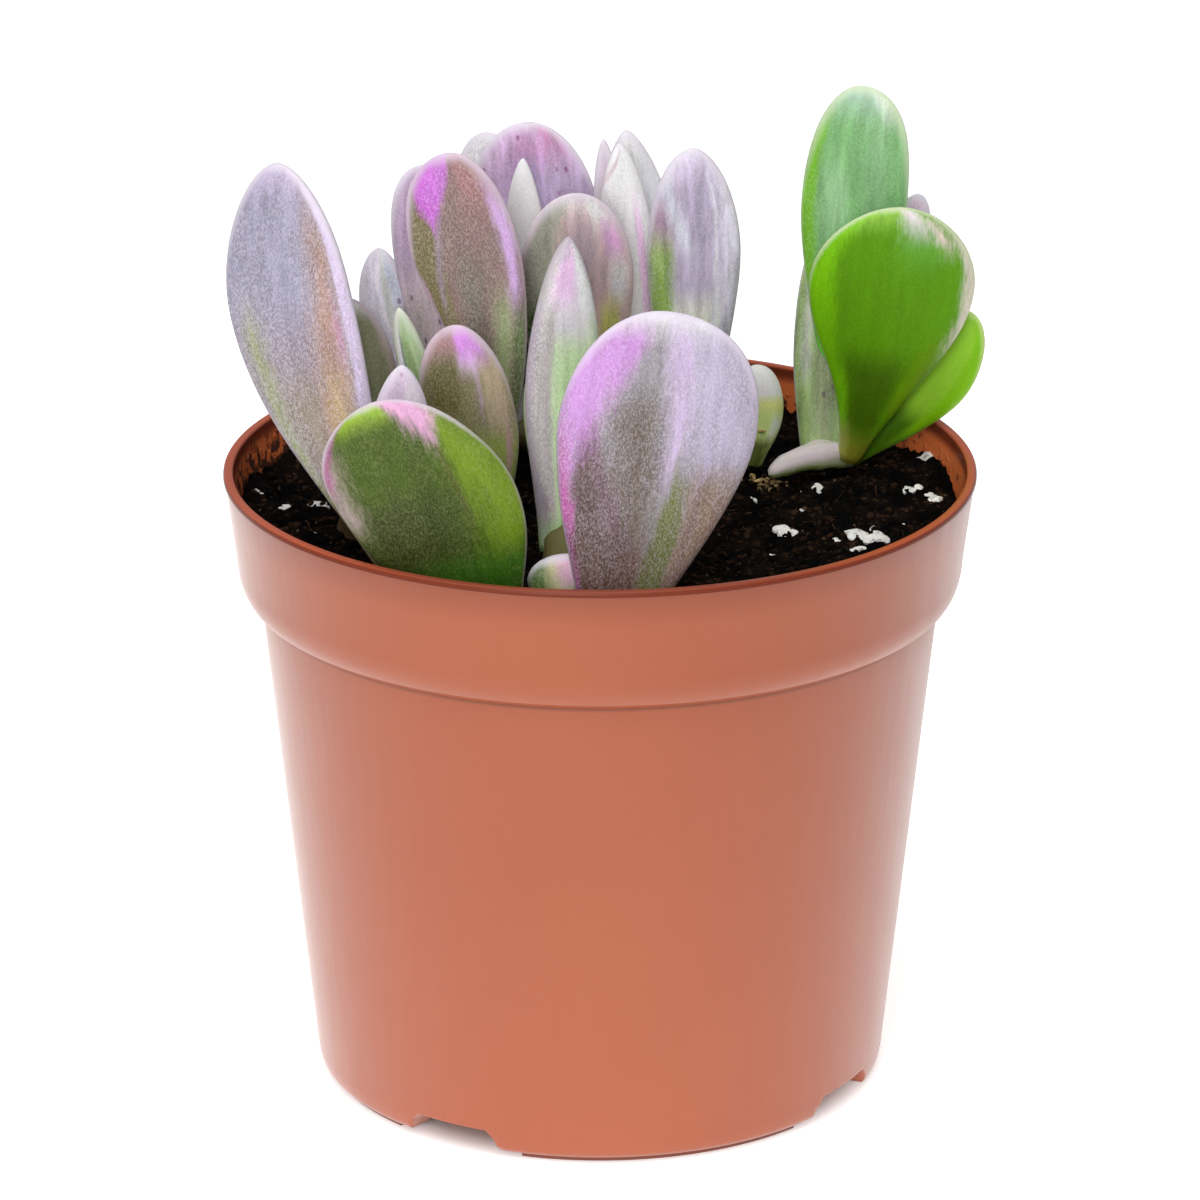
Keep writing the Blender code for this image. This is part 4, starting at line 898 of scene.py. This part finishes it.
# Where the photo shows perlite: x, y and size. The last four are behind the plant and guessed
PERLITE = (
    (38.9, 15.6, 1.6), (38.2, 5.0, 1.5), (40.1, 2.9, 1.1), (30.8, -7.2, 2.2), (33.3, -8.6, 1.8), (22.2, -7.6, 1.6),
    (30.6, -11.8, 1.1), (28.0, -8.8, 0.7), (26.0, 8.5, 1.5), (24.0, -0.2, 0.5), (18.5, 4.0, 0.6), (29.6, -4.4, 0.6),
    (32.4, -4.8, 0.5), (-41.0, 3.4, 0.5), (-37.6, -1.0, 1.0), (-33.7, -0.4, 1.3), (-31.0, -2.6, 0.4),
    (-27.9, -11.9, 0.7), (-33.9, -7.6, 0.3), (20.4, -13.6, 0.4), (36.0, -4.0, 0.4), (-22.0, 30.0, 1.3),
    (-4.0, 37.0, 1.2), (16.0, 34.0, 1.5), (-32.0, 20.0, 1.2),
)


def soil_surface():
    """The soil's fine surface: a square grid eased into a disc that meets the pot's wall, closed underneath.

    A point (u, v) of the square goes to (u sqrt(1 - v^2 / 2), v sqrt(1 - u^2 / 2)) of the unit disc.
    """
    steps = np.linspace(-1, 1, SOIL_STEPS)
    u, v = np.meshgrid(steps, steps, indexing="ij")
    x, y = u * np.sqrt(1 - v**2 / 2), v * np.sqrt(1 - u**2 / 2)
    reach = np.maximum(np.hypot(x, y), 1e-9)
    edge = WALL_RADIUS + WALL_SLOPE * (bed_height(SOIL_REACH * x / reach, SOIL_REACH * y / reach) - WALL_HEIGHT) - 0.15
    x, y = x * edge, y * edge
    top = np.stack([x, y, soil_height(x, y)], axis=2).reshape(-1, 3)
    number = np.arange(SOIL_STEPS**2).reshape(SOIL_STEPS, SOIL_STEPS)
    quads = np.stack([number[:-1, :-1], number[1:, :-1], number[1:, 1:], number[:-1, 1:]], axis=2).reshape(-1, 4)
    loop = np.concatenate([number[:-1, 0], number[-1, :-1], number[:0:-1, -1], number[0, :0:-1]])
    turns = np.arctan2(top[loop, 1], top[loop, 0])
    sides = len(loop)
    rows = [top]
    for radius, height in SOIL_ROWS:
        rows.append(np.stack([radius * np.cos(turns), radius * np.sin(turns), height + 0 * turns], axis=1))
    points = np.vstack([*rows, (0, 0, SOIL_ROWS[-1][1])])
    ring = loop
    faces = quads.tolist()
    for level in range(len(SOIL_ROWS)):
        below = len(top) + level * sides + np.arange(sides)
        faces += np.stack([ring, below, np.roll(below, -1), np.roll(ring, -1)], axis=1).tolist()
        ring = below
    faces += [[a, len(points) - 1, b] for a, b in zip(ring.tolist(), np.roll(ring, -1).tolist())]
    return points, faces, 0, {}


def make_soil():
    """The soil's surface, and the crumbs, perlite grains and fibres on it."""
    soil = build("soil_surface", [soil_surface()], [soil_material("damp peat mix", "#040303", "#1d130e")])
    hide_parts("soil")

    draws = np.random.default_rng(21)
    angle, reach = draws.uniform(0, math.tau, CRUMBS), 41.5 * draws.uniform(0, 1, CRUMBS) ** 0.5
    size, flat = 0.14 + 0.62 * draws.uniform(0, 1, CRUMBS) ** 3.5, draws.uniform(0.5, 1.0, CRUMBS)
    crumbs = lumps(reach * np.cos(angle), reach * np.sin(angle), size, flat, 0.3 + 0 * size, 1, 0.35, 22)
    made = build("peat_crumbs", [crumbs], [soil_material("drier peat crumbs", "#0a0706", "#4a3526")], smooth=False)

    x, y, size = np.repeat(np.array(PERLITE), 6, axis=0).T
    angle, away = draws.uniform(0, 6.3, len(x)), draws.uniform(0.15, 0.75, len(x))
    x, y = x + size * away * np.cos(angle), y + 0.8 * size * away * np.sin(angle)
    size = size * draws.uniform(0.5, 0.95, len(x))
    grains = lumps(x, y, size, draws.uniform(0.3, 0.55, len(x)), draws.uniform(0.3, 0.6, len(x)), 2, 0.22, 23)
    made = build("perlite_grains", [grains], [perlite_material()], smooth=False)

    fibres = []
    for _ in range(FIBRES):
        angle, radius = draws.uniform(0, 6.3), 40 * draws.uniform() ** 0.5
        start = radius * math.cos(angle), radius * math.sin(angle)
        fibres.append(strand(draws, start, (0.6, 2.4), 0.8, (0.0, 0.25), (0.015, 0.045)))
    brown = dry_material("coir and root fibres", 90.0, 2.0, (0.35, "#1c120c"), (0.7, "#8a5a34"), 0.6)
    made = build("peat_fibres", fibres, [brown])


# The pot


def outer_plastic(name="terracotta polypropylene, outside", bloom=BLOOM):
    """Injection-moulded polypropylene in a terracotta colour: a satin skin with a pale bloom where it turns away. Its
    colour carries painted shade at the top of the band under the lip, in the crease under the band and at the foot.
    """
    plastic, tree, shader = new_material(name)
    where = add(tree, "TexCoord").outputs["Object"]
    clouds = add(tree, "TexNoise", {"Vector": where, "Scale": 28.0, "Detail": 3.0})
    clouds = add(tree, "MapRange", (clouds, 0.3, 0.7))
    height = add(tree, "SeparateXYZ", (where,)).outputs[2]
    # painted shade: the top of the band darker under the lip
    top = add(tree, "MapRange", {0: height, 1: 0.0705, 2: 0.0754, 4: 0.5}, **SMOOTH)
    # painted shade: a dark line in the crease under the band, where the band's overhang shades the body
    above = add(tree, "MapRange", (height, 0.0597, 0.06015))
    below = add(tree, "MapRange", {0: height, 1: 0.0611, 2: 0.0604, 4: 0.6})
    crease = add(tree, "Math", (above, below), **TIMES)
    # painted shade at the foot, where the pot meets the floor
    foot = add(tree, "MapRange", {0: height, 1: 0.0011, 2: 0.0005, 4: 0.75})
    body = "#a95431"
    for share, colour in ((clouds, "#ae5935"), (top, "#83391f"), (crease, "#5c2a18"), (foot, "#6a2f1c")):
        body = add(tree, "Mix", {0: share, 6: body, 7: colour}, **COLOUR)
    flow = add(tree, "Mapping", {"Vector": where, "Scale": (700.0, 700.0, 60.0)})
    flow = add(tree, "TexNoise", {"Vector": flow, "Scale": 1.0, "Detail": 2.0})
    pebble = add(tree, "TexNoise", {"Vector": where, "Scale": 1600.0, "Detail": 2.0})
    wire(tree, shader, {
        "Base Color": body, "Roughness": add(tree, "MapRange", (flow, 0.3, 0.7, 0.42, 0.50)),
        "Normal": add(tree, "Bump", {"Strength": 0.12, "Distance": 0.0001, "Height": pebble}),
        "Specular IOR Level": 0.6 * bloom / BLOOM, "Sheen Weight": bloom, "Sheen Roughness": 0.4,
    })
    return plastic


def inner_plastic():
    """The same plastic at the lip and inside: smoother, with dirt splashed from the soil. Its colours carry painted
    light: painted shade on the lip, darker at the front and along its top, and a lighter inner wall where light falls
    in.
    """
    plastic, tree, shader = new_material("terracotta polypropylene, lip and inside")
    where = add(tree, "TexCoord").outputs["Object"]
    x, y, z = add(tree, "SeparateXYZ", (where,)).outputs
    # the lip, in a darker colour that is painted shade where it faces up
    lip = add(tree, "MapRange", (z, 0.0738, 0.0752), **SMOOTH)
    wall = add(tree, "Math", (1.0, lip), operation="SUBTRACT")
    # painted shade: the lip darker still at the front
    front = add(tree, "MapRange", (y, -0.028, -0.043), **SMOOTH)
    front = add(tree, "Math", (front, lip), **TIMES)
    # painted shade: the lip darker along its top
    edge = add(tree, "MapRange", (z, 0.0760, 0.0757), **SMOOTH)
    edge = add(tree, "Math", (edge, lip), **TIMES)
    dirt = add(tree, "TexNoise", {"Vector": where, "Scale": 620.0, "Detail": 5.0, "Roughness": 0.65})
    for reach in ((z, 0.0745, 0.070, 0.0, 0.14), (x, -0.020, -0.042, -0.04, 0.09)):
        dirt = add(tree, "Math", (dirt, add(tree, "MapRange", reach)), operation="ADD")
    dirt = add(tree, "MapRange", (dirt, 0.60, 0.68))
    dirt = add(tree, "Math", (dirt, wall), **TIMES)
    # painted light: the inner wall is lighter and more orange than the plastic, where light falls in over the rim
    body = "#de7440"
    for share, colour in ((lip, "#b8583a"), (front, "#8f4530"), (edge, "#783522"), (dirt, "#4a2c22")):
        body = add(tree, "Mix", {0: share, 6: body, 7: colour}, **COLOUR)
    beads = add(tree, "TexVoronoi", {"Vector": where, "Scale": 800.0})
    beads = add(tree, "MapRange", (beads, 0.35, 0.1), **SMOOTH)
    beads = add(tree, "Math", (beads, wall), **TIMES)
    wire(tree, shader, {
        "Base Color": body, "Roughness": add(tree, "MapRange", {0: dirt, 3: 0.3, 4: 0.7}), "Specular IOR Level": 0.15,
        "Normal": add(tree, "Bump", {"Strength": 0.5, "Distance": 0.0003, "Height": beads}),
    })
    return plastic


def rounded(points, radii, steps=5):
    """A profile whose corners are rounded: each corner is cut back by its radius and bridged by a quadratic curve."""
    points = [np.array(p, float) for p in points]
    made = [points[0]]
    for before, corner, after, radius in zip(points, points[1:], points[2:], radii):
        start = corner + (before - corner) * min(0.45, radius / np.linalg.norm(before - corner))
        end = corner + (after - corner) * min(0.45, radius / np.linalg.norm(after - corner))
        t = np.linspace(0, 1, steps)[:, None]
        made += list((1 - t) ** 2 * start + 2 * t * (1 - t) * corner + t**2 * end)
    return np.array([*made, points[-1]])


def notch_lift(turns):
    """How high the foot is cut away at each angle: four notches with sloping sides, each between two low gaps."""
    lift = np.zeros_like(turns)
    for angle in NOTCH_ANGLES:
        along = NOTCH_RADIUS * np.abs((turns - math.radians(angle) + math.pi) % math.tau - math.pi)
        lift = np.maximum(lift, np.interp(along, NOTCH_STEPS, (NOTCH_HEIGHT, 2.4, 0.72, 0.7, 0.0)))
    return lift


def pot_surface():
    """The pot as a profile turned about its axis, its foot lifted at the notches and its ends on the axis."""
    corners = [
        (0.0, 3.4), (30.8, 3.4), (30.8, 0.0), (33.4, 0.0), (33.4, 0.7), (33.9, 0.7), (34.35, 1.15), (34.6, 2.4),
        (34.7, 3.6), (40.7, 60.2), (41.25, 60.28), (42.25, 61.1), (43.0, 62.3), (43.4, 63.8), (43.55, 65.6),
        (44.78, 75.2), (45.0, 75.3), (45.0, 75.7), (44.8, 76.0), (44.0, 76.0), (43.78, 75.8), (43.75, 75.3),
        (43.65, 74.4), (42.55, 65.6), (41.35, 62.6), (39.7, 60.4), (34.05, 6.2), (33.0, 4.8),
        (32.2, 4.6), (0.0, 4.6),
    ]
    radii = [0.3, 0.25, 0.25, 0.05, 0.1, 0.4, 0.5, 0.6, 0.08, 0.25, 0.6, 0.7, 0.7, 0.8, 0.05, 0.05, 0.15, 0.15]
    radii += [0.15, 0.15, 0.15, 0.15, 0.8, 1.2, 1.0, 0.7, 0.4, 0.3]
    profile = rounded(corners, radii)
    even = circle(POT_SIDES)
    near = [math.radians(angle) + side * along / NOTCH_RADIUS for angle in NOTCH_ANGLES for side in (-1, 1)
            for along in NOTCH_STEPS]
    turns = np.unique(np.round(np.concatenate([even, np.array(near) % math.tau]), 5))
    r = profile[1:-1, 0][:, None] + 0 * turns
    z = profile[1:-1, 1][:, None] + 0 * turns
    foot = np.arange(len(r))[:, None] < len(r) // 2
    z = np.where(foot & (r > PAD_INSIDE), np.maximum(z, notch_lift(turns)), z)
    return np.stack([r * np.sin(turns), -r * np.cos(turns), z], axis=2)


def make_pot():
    """The pot's surface with its three finishes, and its drain holes cut through."""
    rings = pot_surface()
    points, faces, _, _ = closed(rings, {}, 0)
    sides, height = rings.shape[1], rings[:, 0, 2]
    lip_row = int(np.argmax(height > LIP_FROM))
    finish = np.zeros(len(faces), int)
    finish[lip_row * sides : -2 * sides] = 1
    finish[-sides:] = 1
    # the rows in the crease take a copy of the plastic with almost no bloom, painted shade that keeps the crease line
    # dark
    for row in np.flatnonzero((height[: lip_row - 1] > SHADED_CREASE[0]) & (height[1:lip_row] < SHADED_CREASE[1])):
        finish[row * sides : (row + 1) * sides] = 2
    crease = outer_plastic("terracotta polypropylene, crease under the band", 0.1)
    pot = build("nursery_pot", [(points, faces, finish, {})], [outer_plastic(), inner_plastic(), crease])
    turned = [math.radians(angle) for angle in NOTCH_ANGLES]
    centres = [(0.0, 0.0), *[(DRAIN_CIRCLE * math.sin(turn), -DRAIN_CIRCLE * math.cos(turn)) for turn in turned]]
    drills = []
    for x, y in centres:
        turns = circle(DRAIN_SIDES)
        ring = np.stack([x + DRAIN_RADIUS * np.cos(turns), y + DRAIN_RADIUS * np.sin(turns), 0 * turns], axis=1)
        drills.append(closed(np.stack([ring + (0, 0, end) for end in DRILL_ENDS]), {}, 0))
    drill = build("drain_drill", drills, [])
    cut = pot.modifiers.new("drain holes", "BOOLEAN")
    cut.object = drill
    cut.solver = "EXACT"
    whole = bpy.data.meshes.new_from_object(pot.evaluated_get(bpy.context.evaluated_depsgraph_get()))
    pot.modifiers.clear()
    pot.data = whole
    bpy.data.objects.remove(drill)
    pot.data.set_sharp_from_angle(angle=math.radians(SHARP_FROM))
    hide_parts("pot")


# The studio


def placed(name, data, place, turn=(0, 0, 0)):
    """An object in the scene."""
    made = bpy.data.objects.new(name, data)
    made.location, made.rotation_euler = place, turn
    bpy.context.scene.collection.objects.link(made)
    return made


def make_studio():
    """A pale board lit from beneath, whose glow fades out under the pot as a painted shadow, a white wall behind, a
    large soft key at the front left, two rim lights.
    """
    mesh = bpy.data.meshes.new("floor")
    mesh.from_pydata([(-4, -4, 0), (4, -4, 0), (4, 4, 0), (-4, 4, 0)], [], [(0, 1, 2, 3)])
    floor = placed("floor", mesh, (0, 0, 0))
    pale, tree, shader = new_material("backlit white board")
    where = add(tree, "TexCoord").outputs["Object"]
    away = add(tree, "Mapping", {"Vector": where, "Location": (0.0, -1.0, 0.0), "Scale": (5.0, 3.4, 1.0)})
    away = add(tree, "VectorMath", (away,), operation="LENGTH").outputs["Value"]
    glow = add(tree, "MapRange", (away, 1.05, 1.7, FLOOR_GLOW, 0.0), **SMOOTH)
    # painted shadow: the board's glow is cut out beneath the pot
    centre = add(tree, "VectorMath", (where,), operation="LENGTH").outputs["Value"]
    clear = add(tree, "MapRange", (centre, 0.029, 0.0355), **SMOOTH)
    wire(tree, shader, {
        "Base Color": "#f2f2f2", "Roughness": 0.9, "Emission Color": (1, 1, 1, 1),
        "Emission Strength": add(tree, "Math", (glow, clear), **TIMES),
    })
    mesh.materials.append(pale)

    world = bpy.data.worlds.new("dim room with a white wall behind")
    world.use_nodes = True
    tree = world.node_tree
    _, y, z = add(tree, "SeparateXYZ", (add(tree, "TexCoord").outputs["Generated"],)).outputs
    behind = add(tree, "MapRange", (y, 0.35, 0.9, SIDE_LIGHT, BACK_LIGHT), **SMOOTH)
    above = add(tree, "MapRange", {0: z, 1: 0.2, 2: 0.9, 4: TOP_LIGHT})
    level = add(tree, "Math", (behind, above), operation="ADD")
    wire(tree, tree.nodes["Background"], ((1, 1, 1, 1), level))
    bpy.context.scene.world = world
    for name, place, aim, size, power in LAMPS:
        lamp = bpy.data.lights.new(name, "AREA")
        lamp.shape, lamp.energy = "RECTANGLE", power
        lamp.size, lamp.size_y = size
        toward = Vector((0, 0, aim)) - Vector(place)
        placed(name, lamp, place, toward.to_track_quat("-Z", "Y").to_euler())

    lens = bpy.data.cameras.new("camera")
    lens.sensor_width, lens.lens = 36, CAMERA_LENS
    camera = placed("camera", lens, CAMERA_PLACE, (math.radians(90 - CAMERA_DOWN), 0, 0))
    bpy.context.scene.camera = camera
    bpy.context.scene.view_settings.view_transform = "Standard"


make_pot()
make_soil()
make_plant()
make_stem_end()
make_studio()
